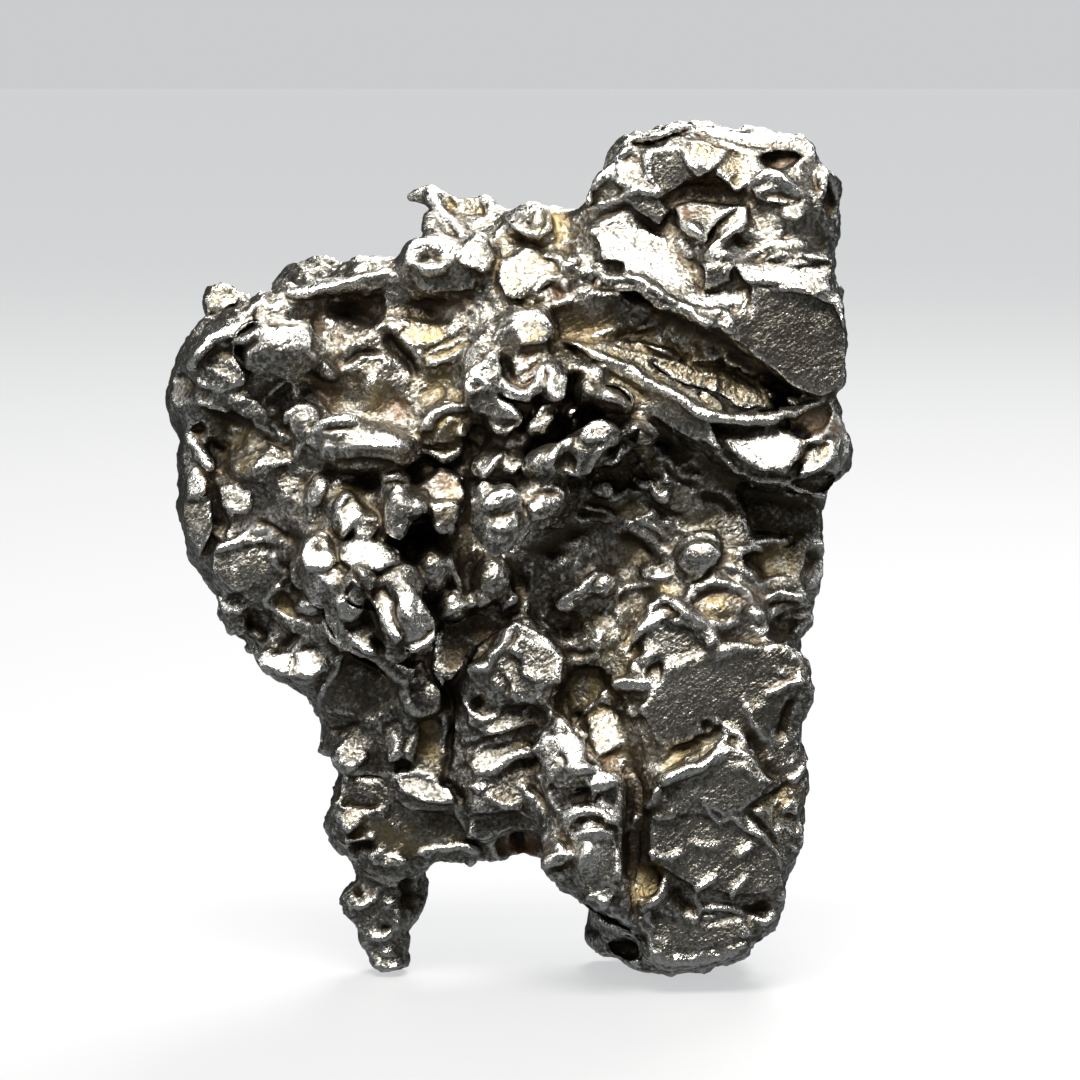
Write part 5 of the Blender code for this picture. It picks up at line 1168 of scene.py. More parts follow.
class Net:
    """The edges of a mesh, for averages over neighbours."""

    def __init__(self, mesh):
        self.count = len(mesh.vertices)
        self.edges = column_of(mesh.edges, "vertices", 2, np.int32)
        self.degree = np.bincount(self.edges.ravel(), minlength=self.count).astype(float)

    def mean(self, values):
        """The mean over each point's neighbours, for one row of numbers."""
        a, b = self.edges.T
        total = np.bincount(a, values[b], self.count) + np.bincount(b, values[a], self.count)
        return total / np.maximum(self.degree, 1)

    def smooth(self, values, rounds, share=0.5):
        """One row of numbers, or several columns, after this many rounds of averaging."""
        if values.ndim == 2:
            return np.stack([self.smooth(column, rounds, share) for column in values.T], axis=1)
        for _ in range(rounds):
            values = values + share * (self.mean(values) - values)
        return values

    def fair(self, values, rounds, inwards=0.62, outwards=-0.64):
        """values smoothed without shrinking: each round in is followed by a longer one out."""
        for _ in range(rounds):
            values = self.smooth(self.smooth(values, 1, inwards), 1, outwards)
        return values


def ease(t):
    return t * t * (3 - 2 * t)


def smoothstep(low, high, values):
    return ease(np.clip((values - low) / (high - low), 0, 1))


def seen_weight(points, normals, net, tree):
    """1 where the camera sees a point square on, falling to 0 at the outline and where hidden."""
    rays = points - EYE
    reach = np.linalg.norm(rays, axis=1)
    rays /= reach[:, None]
    weight = smoothstep(*GRAZING, -along_normals(rays, normals))
    eye = Vector(EYE)
    for index in np.flatnonzero(weight > 0):
        distance = tree.ray_cast(eye, Vector(rays[index]))[3]
        if distance is not None and distance < reach[index] - SEEN_DEPTH:
            weight[index] = 0
    return net.smooth(weight, SEEN_ROUNDS)


def wander_field(seed, step, reach):
    """A smooth random field over the view."""
    size = VIEW // step + 3
    coarse = np.random.default_rng(seed).uniform(-1, 1, (size, size))
    at = np.arange(VIEW) / step
    low = at.astype(int)
    t = ease(at - low)
    rows = coarse[low] * (1 - t)[:, None] + coarse[low + 1] * t[:, None]
    return reach * (rows[:, low] * (1 - t) + rows[:, low + 1] * t)


def wander(seed):
    """A coarse field and a fine one together, so that no drawn line is straight."""
    return sum(wander_field(seed + k, *sizes) for k, sizes in enumerate(WANDERS))


class Canvas:
    """A height or a tint over the view, drawn in pixels and read at any point."""

    def __init__(self, warp=None):
        self.values = np.zeros((VIEW, VIEW))
        self.shift_u = warp.shift_u if warp else wander(COLUMN_SEED)
        self.shift_v = warp.shift_v if warp else wander(ROW_SEED)

    def window(self, u, v, pad):
        """The part of the canvas round these points: its slices and its shifted coordinates."""
        left, right = int(max(min(u) - pad, 0)), int(min(max(u) + pad + 1, VIEW))
        top, bottom = int(max(min(v) - pad, 0)), int(min(max(v) + pad + 1, VIEW))
        area = (slice(top, bottom), slice(left, right))
        rows, columns = np.mgrid[area]
        return area, columns + self.shift_u[area], rows + self.shift_v[area]

    def stroke(self, height, width, points, fall):
        """A line along the points that stands up by height and tapers at its ends."""
        u, v = np.array(points, float).T
        area, columns, rows = self.window(u, v, width * STROKE_REACH)
        lengths = np.hypot(np.diff(u), np.diff(v))
        whole = lengths.sum()
        closed = u[0] == u[-1] and v[0] == v[-1]
        best = np.zeros(columns.shape)
        done = 0.0
        for k, length in enumerate(lengths):
            du, dv = (u[k + 1] - u[k]) / length, (v[k + 1] - v[k]) / length
            along = np.clip((columns - u[k]) * du + (rows - v[k]) * dv, 0, length)
            away = np.hypot(columns - u[k] - along * du, rows - v[k] - along * dv)
            share = (done + along) / whole
            taper = smoothstep(0, TAPER_SPAN, np.minimum(share, 1 - share))
            taper = 1.0 if closed else taper * (1 - TAPER_END) + TAPER_END
            crest = CREST_SHARE * np.exp(-((away / width / CREST) ** 2))
            skirt = (1 - CREST_SHARE) * np.exp(-((away / width / SKIRT) ** fall))
            best = np.maximum(best, taper * (crest + skirt))
            done += length
        further = np.maximum if height > 0 else np.minimum
        self.values[area] = further(self.values[area], height * best)

    def spot(self, height, centre, sizes, turn, edge=ROUND, highest=False):
        """A bump or hollow that fills an ellipse, added to the rest or merged as the highest."""
        area, columns, rows = self.window([centre[0]], [centre[1]], max(sizes) * SPOT_REACH)
        c, s = math.cos(math.radians(turn)), math.sin(math.radians(turn))
        along = ((columns - centre[0]) * c + (rows - centre[1]) * s) / sizes[0]
        across = ((rows - centre[1]) * c - (columns - centre[0]) * s) / sizes[1]
        shape = height * np.exp(-SPOT_FALL * np.hypot(along, across) ** edge)
        under = self.values[area]
        self.values[area] = np.maximum(under, shape) if highest else under + shape

    def at(self, u, v):
        """The canvas read between its pixels."""
        return self.read(self.values, u, v)

    @staticmethod
    def read(values, u, v):
        last = VIEW - 1.001
        u, v = np.clip(u, 0, last), np.clip(v, 0, last)
        left, top = u.astype(int), v.astype(int)
        a, b = u - left, v - top
        return (
            values[top, left] * (1 - a) * (1 - b)
            + values[top, left + 1] * a * (1 - b)
            + values[top + 1, left] * (1 - a) * b
            + values[top + 1, left + 1] * a * b
        )


def inside_weight(corners, u, v):
    """How far inside a polygon each point is: 0 outside, 1 further in than the feather."""
    corners = np.array(corners, float)
    following = np.roll(corners, -1, axis=0)
    odd = np.zeros(len(u), bool)
    nearest = np.full(len(u), np.inf)
    for (u0, v0), (u1, v1) in zip(corners, following):
        crosses = (v0 > v) != (v1 > v)
        slope = (u1 - u0) / (v1 - v0) if v1 != v0 else 0.0
        odd ^= crosses & (u < u0 + (v - v0) * slope)
        length = math.hypot(u1 - u0, v1 - v0)
        du, dv = (u1 - u0) / length, (v1 - v0) / length
        along = np.clip((u - u0) * du + (v - v0) * dv, 0, length)
        nearest = np.minimum(nearest, np.hypot(u - u0 - along * du, v - v0 - along * dv))
    return smoothstep(-FEATHER, FEATHER, np.where(odd, nearest, -nearest))


def press_faces(points, weight, warp):
    """Points moved along the line of sight until each named face is flat, and how far each
    point is in one."""
    u, v, ahead = project(points)
    su = u + Canvas.read(warp.shift_u, u, v)
    sv = v + Canvas.read(warp.shift_v, u, v)
    rays = (points - EYE) / ahead[:, None]
    target = ahead.copy()
    cover = np.zeros(len(points))
    for lean, swing, lift, *corners in FACES.values():
        cu, cv = np.array(corners, float).T
        near = np.flatnonzero(
            (weight > LEAST_SEEN)
            & (su > cu.min() - FACE_MARGIN) & (su < cu.max() + FACE_MARGIN)
            & (sv > cv.min() - FACE_MARGIN) & (sv < cv.max() + FACE_MARGIN)
        )
        if not len(near):
            continue
        share = inside_weight(corners, su[near], sv[near])
        if (share > 0.5).sum() < FEWEST_POINTS:
            continue
        mass = weight[near] * share
        middle_u, middle_v, middle = (np.average(k[near], weights=mass) for k in (u, v, ahead))
        plane = (
            middle - lift
            + math.tan(math.radians(lean)) * (middle_v - v[near]) / PX_PER_MM
            + math.tan(math.radians(swing)) * (u[near] - middle_u) / PX_PER_MM
        )
        change = np.clip(plane - ahead[near], -MOST_PRESS, MOST_PRESS)
        target[near] += share * (ahead[near] + change - target[near]) * FACE_STRENGTH
        cover[near] = np.maximum(cover[near], share)
    strength = smoothstep(0.0, PRESSED_FULL, weight)
    return points + rays * ((target - ahead) * strength)[:, None], cover


def relief_canvases(warp):
    """The heights of the named ridges, of the grooves, and of the domes and pits, in mm."""
    ridges, grooves, spots = Canvas(warp), Canvas(warp), Canvas(warp)
    for height, width, *points in RIDGES.values():
        ridges.stroke(height, width, points, RIDGE_FALL)
    for depth, width, *points in GROOVES.values():
        grooves.stroke(-depth, width, points, GROOVE_FALL)
    for height, *ellipse in DOMES.values():
        spots.spot(height, *ellipse)
    for depth, *ellipse in PITS.values():
        spots.spot(-depth, *ellipse)
    return ridges, grooves, spots


def strongest_at(u, v, warp, spots):
    """The strongest spot at each point. A spot is (strength, middle, half sizes, turn, edge)."""
    canvas = Canvas(warp)
    for spot in spots:
        canvas.spot(*spot, highest=True)
    return canvas.at(u, v)


def calm_at(u, v, warp):
    """Where the skin stays smooth: on named domes and lumps, and in the calm parts."""
    domes = [(DOME_CALM, *ellipse, ROUND) for _, *ellipse in DOMES.values()]
    lumps = [(LUMP_CALM, *ellipse, PATCH_EDGE) for _, _, *ellipse in LUMPS.values()]
    parts = [(LUMP_CALM, *ellipse, PATCH_EDGE) for ellipse in CALM.values()]
    return strongest_at(u, v, warp, domes + lumps + parts)


def with_lumps(mesh):
    """The mesh with the named lumps set on it, each where the camera sees its pixel."""
    tree = tree_of(points_of(mesh), quads_of(mesh).tolist())
    body = bmesh.new()
    body.from_mesh(mesh)
    axes = Matrix([RIGHT, UP, -FORWARD]).transposed().to_4x4()
    for lift, depth, (u, v), (wide, high), turn in LUMPS.values():
        way = sight(u, v)
        found = tree.ray_cast(Vector(EYE), Vector(way))[0]
        if found is None:
            continue
        sizes = Matrix.Diagonal((wide / PX_PER_MM, high / PX_PER_MM, depth, 1.0))
        turned = Matrix.Rotation(math.radians(-turn), 4, "Z")
        place = Matrix.Translation(found - Vector(way) * (lift - LUMP_SINK * depth))
        place = place @ axes @ turned @ sizes
        bmesh.ops.create_icosphere(body, subdivisions=LUMP_DETAIL, radius=1, matrix=place)
    body.to_mesh(mesh)
    body.free()
    return mesh


def cells(points, size, seed):
    """The nearest two seeds of a jittered lattice to each point: their distances, the index of
    the nearest, and all the seeds."""
    rng = np.random.default_rng(seed)
    low, high = points.min(0) - size * 2, points.max(0) + size * 2
    axes = [np.arange(a, b, size) for a, b in zip(low, high)]
    grid = np.stack(np.meshgrid(*axes, indexing="ij"), -1).reshape(-1, 3)
    seeds = grid + rng.uniform(-JITTER, JITTER, grid.shape) * size
    shape = [len(a) for a in axes]
    home = np.floor((points - low) / size + 0.5).astype(int)
    first = np.full(len(points), np.inf)
    second = np.full(len(points), np.inf)
    which = np.zeros(len(points), int)
    for step in np.ndindex(3, 3, 3):
        cell = np.clip(home + np.array(step) - 1, 0, np.array(shape) - 1)
        index = (cell[:, 0] * shape[1] + cell[:, 1]) * shape[2] + cell[:, 2]
        away = np.linalg.norm(points - seeds[index], axis=1)
        closer = away < first
        second = np.where(closer, first, np.minimum(second, away))
        which = np.where(closer, index, which)
        first = np.where(closer, away, first)
    return first, second, which, seeds


def value_noise(points, size, seed):
    """Smooth noise from -1 to 1 with this grain."""
    low = points.min(0) - size
    at = (points - low) / size
    home = at.astype(int)
    t = ease(at - home)
    lattice = np.random.default_rng(seed).uniform(-1, 1, home.max(0) + 2)
    total = np.zeros(len(points))
    for corner in range(8):
        bits = np.array([corner & 1, corner >> 1 & 1, corner >> 2 & 1])
        share = np.prod(np.where(bits, t, 1 - t), axis=1)
        total += share * lattice[tuple((home + bits).T)]
    return total


def scallop(points, size, seed):
    """Round hollows, 0 at their crests and -1 at the bottom, and how near each crest is."""
    reach, grain = SCALLOP_WARP
    stray = np.stack([value_noise(points, size * grain, seed + k) for k in (1, 2, 3)], axis=1)
    first, second, which, seeds = cells(points + reach * size * stray, size, seed)
    depth = smoothstep(0.0, BOWL_SPAN, (second - first) / size)
    rim = 1 - smoothstep(0.0, RIM_SPAN, (second - first) / size)
    strength = np.random.default_rng(seed + 9).uniform(*BOWL_DEPTHS, len(seeds))
    return -depth * strength[which], rim * strength[which]


def chips(points, normals, size, seed):
    """Flat flakes, each tipped its own way, from about -1 to 1."""
    _, _, which, seeds = cells(points, size, seed)
    rng = np.random.default_rng(seed + 9)
    tip = unit(rng.normal(size=(len(seeds), 3)))[which]
    tip -= normals * along_normals(tip, normals)[:, None]
    level = rng.uniform(*CHIP_STEPS, len(seeds))[which]
    return along_normals(points - seeds[which], tip) / size + level


def coarse_mesh():
    """The CAD node's shape as an even mesh in millimetres."""
    source = frame["nodes"][NODE].data.copy()
    points = points_of(source) / MM
    source.vertices.foreach_set("co", points.astype(np.float32).ravel())
    source.update()
    return evaluated(source, "REMESH", mode="VOXEL", voxel_size=PLATE_VOXEL)


def sculpt():
    """The dense mesh with the named faces pressed and the lumps joined, and the wander of all
    that is drawn on it."""
    mesh = coarse_mesh()
    net = Net(mesh)
    points = net.fair(points_of(mesh), MELT_ROUNDS)
    quads = quads_of(mesh)
    mesh = mesh_from(points, quads)
    normals = net.smooth(normals_of(mesh), 2)
    weight = seen_weight(points, normals, net, tree_of(points, quads.tolist()))
    warp = Canvas()
    pressed, _ = press_faces(points, weight, warp)
    mesh = with_lumps(mesh_from(pressed, quads))
    mesh = evaluated(mesh, "REMESH", mode="VOXEL", voxel_size=RELIEF_VOXEL)
    soft = Net(mesh).smooth(points_of(mesh), LUMP_SOFTNESS)
    return mesh_from(soft, quads_of(mesh)), warp


def kept_in(points):
    """The points with the outermost part of each side drawn in as far as the CAD's box asks."""
    low, high = np.array(cad_box[0]) / MM, np.array(cad_box[1]) / MM
    kept = points.copy()
    for axis in range(3):
        for sign, limit in ((1, high[axis]), (-1, low[axis])):
            into = sign * kept[:, axis] - (sign * limit - BOX_REACH)
            furthest = into.max()
            if furthest > BOX_REACH:
                kept[:, axis] -= sign * into.clip(0) * (1 - BOX_REACH / furthest)
    return kept


def natural_relief(points, normals, seen, calm):
    """The height of the scallops, flakes and grit, and how near each point is to a crest."""
    height = np.zeros(len(points))
    rims = np.zeros(len(points))
    for step, (size, wild, between, flat) in enumerate(SCALLOPS):
        front = between + (flat - between) * calm
        bowl, rim = scallop(points, size, SCALLOP_SEED + step * SEED_STEP)
        height += bowl * (wild + (front - wild) * seen)
        rims = np.maximum(rims, rim * min(1, wild / FULL_CREST))
    for step, (size, wild, between, flat) in enumerate(CHIPS):
        front = between + (flat - between) * calm
        flakes = chips(points, normals, size, CHIP_SEED + step * SEED_STEP)
        height += flakes * (wild + (front - wild) * seen)
    height += GRIT * value_noise(points, GRIT_GRAIN, GRIT_SEED)
    patches = PATCH_MEAN + PATCH_SWING * value_noise(points, PATCH_GRAIN, PATCH_SEED)
    return height * patches, rims


def relieved(mesh, warp):
    """The dense mesh with all its relief, its net, how far the camera sees each point, and two
    columns that tell crests bright with wear and cracks painted black with shade."""
    net = Net(mesh)
    quads = quads_of(mesh)
    points = points_of(mesh)
    normals = unit(net.smooth(normals_of(mesh), 5))
    weight = seen_weight(points, normals, net, tree_of(points, quads.tolist()))
    points, cover = press_faces(points, weight, warp)
    normals = unit(net.smooth(normals_of(mesh_from(points, quads)), 3))
    u, v, _ = project(points)
    crests, cracks, spots = (canvas.at(u, v) * weight for canvas in relief_canvases(warp))
    seen = np.clip(weight * SEEN_FULL, 0, 1)
    calm = np.maximum(cover, calm_at(u, v, warp))
    natural, rims = natural_relief(points, normals, seen, calm)
    moved = points + normals * (crests + cracks + spots + natural)[:, None]
    moved = kept_in(net.smooth(moved, 1, EDGE_SOFTNESS))
    bare = (1 - seen) + RIM_SHARE * seen * (1 - calm)
    brightening = np.maximum(np.clip(crests / FULL_CREST, 0, 1), rims * bare)
    lines = np.stack([brightening, np.clip(-cracks / FULL_CRACK, 0, 1)], axis=1)
    return mesh_from(moved, quads), net, weight, lines


def hollowness(mesh, net):
    """How deep in a fine and in a middling hollow each point lies, in mm. Crests are below 0."""
    points = points_of(mesh)
    normals = normals_of(mesh)
    found = []
    smoothed = points
    done = 0
    for rounds in HOLLOW_ROUNDS:
        smoothed = net.smooth(smoothed, rounds - done, HOLLOW_SHARE)
        done = rounds
        found.append(along_normals(smoothed - points, normals))
    return np.stack(found, axis=1)


def openness(mesh, tree):
    """The share of the sky that each point sees close by, from 0 to 1."""
    points, normals = points_of(mesh), normals_of(mesh)
    ways = unit(np.random.default_rng(SKY_SEED).normal(size=(SKY_RAYS, 3)))
    count = np.zeros(len(points))
    for index, normal in enumerate(normals):
        start = Vector(points[index] + normal * SKY_START)
        for way in ways + normal * SKY_LIFT:
            count[index] += tree.ray_cast(start, Vector(way), SKY_REACH)[0] is None
    return count / SKY_RAYS


def thinned(mesh, weight):
    """The dense mesh with fewer triangles, most of them kept where the features are."""
    return evaluated(
        mesh, "DECIMATE", weights=1 - FRONT_KEEP * weight, vertex_group_factor=KEEP_FACTOR,
        ratio=MOST_TRIANGLES / (2 * len(mesh.polygons)), use_collapse_triangulate=True,
    )


def attribute(mesh, name, *columns):
    """A colour attribute on the mesh's points, from up to three columns."""
    colours = np.zeros((len(mesh.vertices), 4), np.float32)
    colours[:, : len(columns)] = np.stack(columns, axis=1)
    colours[:, 3] = 1
    layer = mesh.color_attributes.new(name, "FLOAT_COLOR", "POINT")
    layer.data.foreach_set("color", colours.ravel())


def nearest_index(points, targets):
    """For each target, the index of the nearest point."""
    tree = KDTree(len(points))
    for index, point in enumerate(points):
        tree.insert(point, index)
    tree.balance()
    return np.array([tree.find(target)[1] for target in targets])


def stain_at(u, v, warp, tint):
    """How strongly one tint colours each point: gold, rust and olive are oxide, brown is oxide and
    painted shade.
    """
    spots = [(*spot, STAIN_EDGE) for name, *spot in STAINS.values() if name == tint]
    return strongest_at(u, v, warp, spots)


def build_iron():
    """The dressed lump, with the attributes that its material reads."""
    mesh, warp = sculpt()
    dense, net, seen, lines = relieved(mesh, warp)
    final = thinned(dense, seen)
    at = points_of(final)
    index = nearest_index(points_of(dense), at)
    hollow = hollowness(dense, net)[index] / HOLLOW_SPAN + 0.5
    sky = openness(final, tree_of(at, [tuple(p.vertices) for p in final.polygons]))
    u, v, _ = project(at)
    gold, rust, olive, brown = (
        stain_at(u, v, warp, tint) * seen[index] for tint in ("gold", "rust", "olive", "brown")
    )
    # the rubbed-clean spots, which also paint highlights on upward faces
    polish_and_highlight_spots = [(*spot, PATCH_EDGE) for spot in POLISH_AND_HIGHLIGHT.values()]
    polish_and_highlight = strongest_at(u, v, warp, polish_and_highlight_spots) * seen[index]
    attribute(final, "hollow", *hollow.T)
    attribute(final, "tint", gold, rust, olive)
    attribute(final, "lines", *lines[index].T, polish_and_highlight)
    attribute(final, "sky", sky, brown)
    final.vertices.foreach_set("co", (at * MM).astype(np.float32).ravel())
    final.polygons.foreach_set("use_smooth", np.ones(len(final.polygons), bool))
    final.update()
    final.validate()
    iron = bpy.data.objects.new("iron_body", final)
    bpy.context.scene.collection.objects.link(iron)
    return iron


class Nodes:
    """Short calls for a material's node tree."""

    def __init__(self, tree):
        self.tree = tree
        tree.nodes.clear()

    def add(self, kind, **settings):
        node = self.tree.nodes.new(kind)
        for name, value in settings.items():
            setattr(node, name, value)
        return node

    def link(self, source, target):
        self.tree.links.new(source, target)

    def put(self, socket, value):
        if isinstance(value, bpy.types.NodeSocket):
            self.link(value, socket)
        else:
            socket.default_value = value

    def math(self, operation, a, b, clamp=False):
        node = self.add("ShaderNodeMath", operation=operation, use_clamp=clamp)
        self.put(node.inputs[0], a)
        self.put(node.inputs[1], b)
        return node.outputs[0]

    def plus(self, a, b, clamp=False):
        return self.math("ADD", a, b, clamp)

    def minus(self, a, b, clamp=False):
        return self.math("SUBTRACT", a, b, clamp)

    def times(self, a, b, clamp=False):
        return self.math("MULTIPLY", a, b, clamp)

    def highest(self, first, *others):
        for other in others:
            first = self.math("MAXIMUM", first, other)
        return first

    def swing(self, value, gain):
        """How far a value from 0 to 1 is from its middle, times gain."""
        return self.times(self.minus(value, 0.5), gain)

    def ramp(self, value, low, high, bottom=0.0, top=1.0):
        """A smooth step from bottom to top while the value goes from low to high."""
        node = self.add("ShaderNodeMapRange", interpolation_type="SMOOTHSTEP")
        sockets = ("Value", "From Min", "From Max", "To Min", "To Max")
        for name, setting in zip(sockets, (value, low, high, bottom, top)):
            self.put(node.inputs[name], setting)
        return node.outputs["Result"]

    def mix(self, share, a, b):
        node = self.add("ShaderNodeMix", data_type="RGBA")
        self.put(node.inputs["Factor"], share)
        self.put(node.inputs[6], a)
        self.put(node.inputs[7], b)
        return node.outputs[2]

    def noise(self, where, scale, detail, rough):
        node = self.add("ShaderNodeTexNoise")
        self.link(where, node.inputs["Vector"])
        self.put(node.inputs["Scale"], scale)
        self.put(node.inputs["Detail"], detail)
        self.put(node.inputs["Roughness"], rough)
        return node.outputs["Fac"]

    def mapped(self, where, setting, value):
        node = self.add("ShaderNodeMapping")
        self.link(where, node.inputs["Vector"])
        self.put(node.inputs[setting], value)
        return node.outputs["Vector"]

    def attribute(self, name):
        node = self.add("ShaderNodeAttribute", attribute_name=name)
        split = self.add("ShaderNodeSeparateColor")
        self.link(node.outputs["Color"], split.inputs["Color"])
        return split.outputs


# Colours of the metal and of what the recesses hold, in linear light.
# bright metal: clean metal where wear has rubbed it, also used for painted highlights
BRIGHT_IRON = (0.74, 0.725, 0.68, 1)
DULL_IRON = (0.36, 0.345, 0.305, 1)
DARK_IRON = (0.22, 0.205, 0.175, 1)
GRAIN_DARK = (0.050, 0.043, 0.032, 1)
PATINA = (0.078, 0.058, 0.034, 1)
# painted shade: near black, where a point is closed in and in deep cracks
PAINTED_SHADE = (0.010, 0.008, 0.005, 1)
GOLD = (0.33, 0.25, 0.115, 1)
RUST = (0.105, 0.048, 0.020, 1)
OLIVE = (0.165, 0.13, 0.062, 1)
# brown stain, dark enough to be painted shade too
BROWN_AND_SHADE = (0.060, 0.042, 0.026, 1)

# Noises: (cycles a metre, detail, roughness).
BROAD = (240.0, 3.0, 0.5)
MOTTLE = (900.0, 4.0, 0.6)
SPECK = (5200.0, 2.0, 0.6)
GRAIN = (5200.0, 3.0, 0.6)
STREAKS = (4600.0, 3.0, 0.6)
PITTING = (1300.0, 5.0, 0.65)

# How far the noises move the edges of the looks.
MOTTLE_GAIN = 0.55
SPECK_GAIN = 0.5

# How much a hollow's depth counts in each look, how much its being closed in counts in the
# patina, and how much the mottling counts in the depth.
PATINA_DEPTH, SHADE_DEPTH, POLISH_AND_HIGHLIGHT_DEPTH = 1.1, 0.6, 1.2
PATINA_CLOSED = 0.8
MOTTLE_DEPTH = 0.5

# How strong each look is where it is full.
CREST_SHINE, POLISH_AND_HIGHLIGHT_SHINE = 0.9, 0.95
# the patina's cover, and how dark the painted shade in cracks is
PATINA_COVER, CRACK_SHADE = 0.9, 0.85
BRIGHT_SPARED = 0.6       # how much bright metal, with wear and painted highlights, is spared by the stains
STAIN_DIRT = 0.7        # how dirty a stain is

# How high the noises stand in the bump: grain and streaks together make the fine part.
GRAIN_HEIGHT, STREAK_HEIGHT, FINE_HEIGHT, PITTING_HEIGHT = 0.5, 0.6, 0.7, 0.5

# Where each look sets in and where it is full, with what shape it follows.
RECESS_SPAN = (0.08, 0.46)      # closed in and deep: patina
SHADE_SPAN = (0.56, 0.96)        # closed in most: painted shade, black
WORN_SPAN = (0.52, 0.74)        # standing out: bright
CREST_SPAN = (0.25, 0.8)        # named and natural crests: bright
POLISH_AND_HIGHLIGHT_SPAN = (0.35, 0.85)      # places rubbed clean, with painted highlights: bright
CRACK_SPAN = (0.1, 0.6)         # cracks: patina
CRACK_SHADE_SPAN = (0.4, 0.9)   # deep cracks: painted shade, black
DARK_SPAN = (0.35, 0.65)        # broad noise: darker metal
GRAIN_SPAN = (0.44, 0.62)       # fine noise: dark grains
STAIN_SPAN = (0.34, 0.6, 0.2, 1.0)      # mottling: stains, which never clear wholly

# What dull metal and bright metal differ in, the bright being metal with wear and painted
# highlights: (dull, bright).
DARK_GRAINS = (0.72, 0.3)
ROUGHNESS = (0.32, 0.24)
DIRT_AND_SHADE_ROUGHNESS, RUST_ROUGHNESS = 0.12, 0.15
SHADE_METALLIC, RUST_METALLIC_LOSS = 0.8, 0.25

# The grain runs down to the right in streaks: their turn in radians, and how far they are
# drawn out. Bump is only for what is finer than the mesh.
STREAK_TURN = (0.0, 0.7, 0.0)
STREAK_STRETCH = (0.22, 1.0, 1.0)
BUMP_STRENGTH, BUMP_DISTANCE = 0.5, 0.0003


def wear(n, place):
    """How bright each place is with wear and painted highlights, how filled with patina and how
    black with painted shade, from 0 to 1, then the mottling and the fine specks."""
    mottle, speck = n.noise(place, *MOTTLE), n.noise(place, *SPECK)
    wobble, grit = n.swing(mottle, MOTTLE_GAIN), n.swing(speck, SPECK_GAIN)
    fine, middle = n.attribute("hollow")[:2]
    crest, crack, polish_and_highlight = n.attribute("lines")[:3]
    closed = n.minus(1.0, n.attribute("sky")[0])
    depth = n.times(n.plus(fine, middle), 0.5)
    depth = n.plus(n.plus(depth, n.times(wobble, MOTTLE_DEPTH)), grit)

    sunk = n.plus(n.times(closed, PATINA_CLOSED), n.swing(depth, PATINA_DEPTH))
    sunk = n.plus(sunk, wobble)
    # painted shade: black where a point is closed in and deep
    shut = n.plus(n.plus(closed, wobble), n.swing(depth, SHADE_DEPTH))
    rough_crack = n.plus(crack, wobble)
    recess = n.highest(n.ramp(sunk, *RECESS_SPAN), n.ramp(rough_crack, *CRACK_SPAN))
    # painted shade: cracks black, the deeper the darker
    crack_shade = n.times(n.ramp(rough_crack, *CRACK_SHADE_SPAN), CRACK_SHADE)
    painted_shade = n.highest(n.ramp(shut, *SHADE_SPAN), crack_shade)

    raised = n.times(n.minus(0.5, depth), POLISH_AND_HIGHLIGHT_DEPTH)
    # the rubbed-clean spots paint highlights, helped by height and mottling
    cleaned_and_highlighted = n.plus(polish_and_highlight, n.plus(wobble, raised))
    # bright with wear on raised places and crests, and with painted highlights on the listed spots
    brightening = n.highest(
        n.ramp(n.minus(1.0, depth), *WORN_SPAN),
        n.times(n.ramp(n.plus(crest, grit), *CREST_SPAN), CREST_SHINE),
        n.times(n.ramp(cleaned_and_highlighted, *POLISH_AND_HIGHLIGHT_SPAN), POLISH_AND_HIGHLIGHT_SHINE),
    )
    return brightening, recess, painted_shade, mottle, speck


def bump(n, place):
    """The metal's fine grain, its streaks and its pitting."""
    streaked = n.mapped(n.mapped(place, "Rotation", STREAK_TURN), "Scale", STREAK_STRETCH)
    grain = n.times(n.noise(place, *GRAIN), GRAIN_HEIGHT)
    streaks = n.times(n.noise(streaked, *STREAKS), STREAK_HEIGHT)
    pitting = n.times(n.noise(place, *PITTING), PITTING_HEIGHT)
    height = n.plus(n.times(n.plus(grain, streaks), FINE_HEIGHT), pitting)
    node = n.add("ShaderNodeBump")
    n.put(node.inputs["Strength"], BUMP_STRENGTH)
    n.put(node.inputs["Distance"], BUMP_DISTANCE)
    n.put(node.inputs["Height"], height)
    return node.outputs["Normal"]


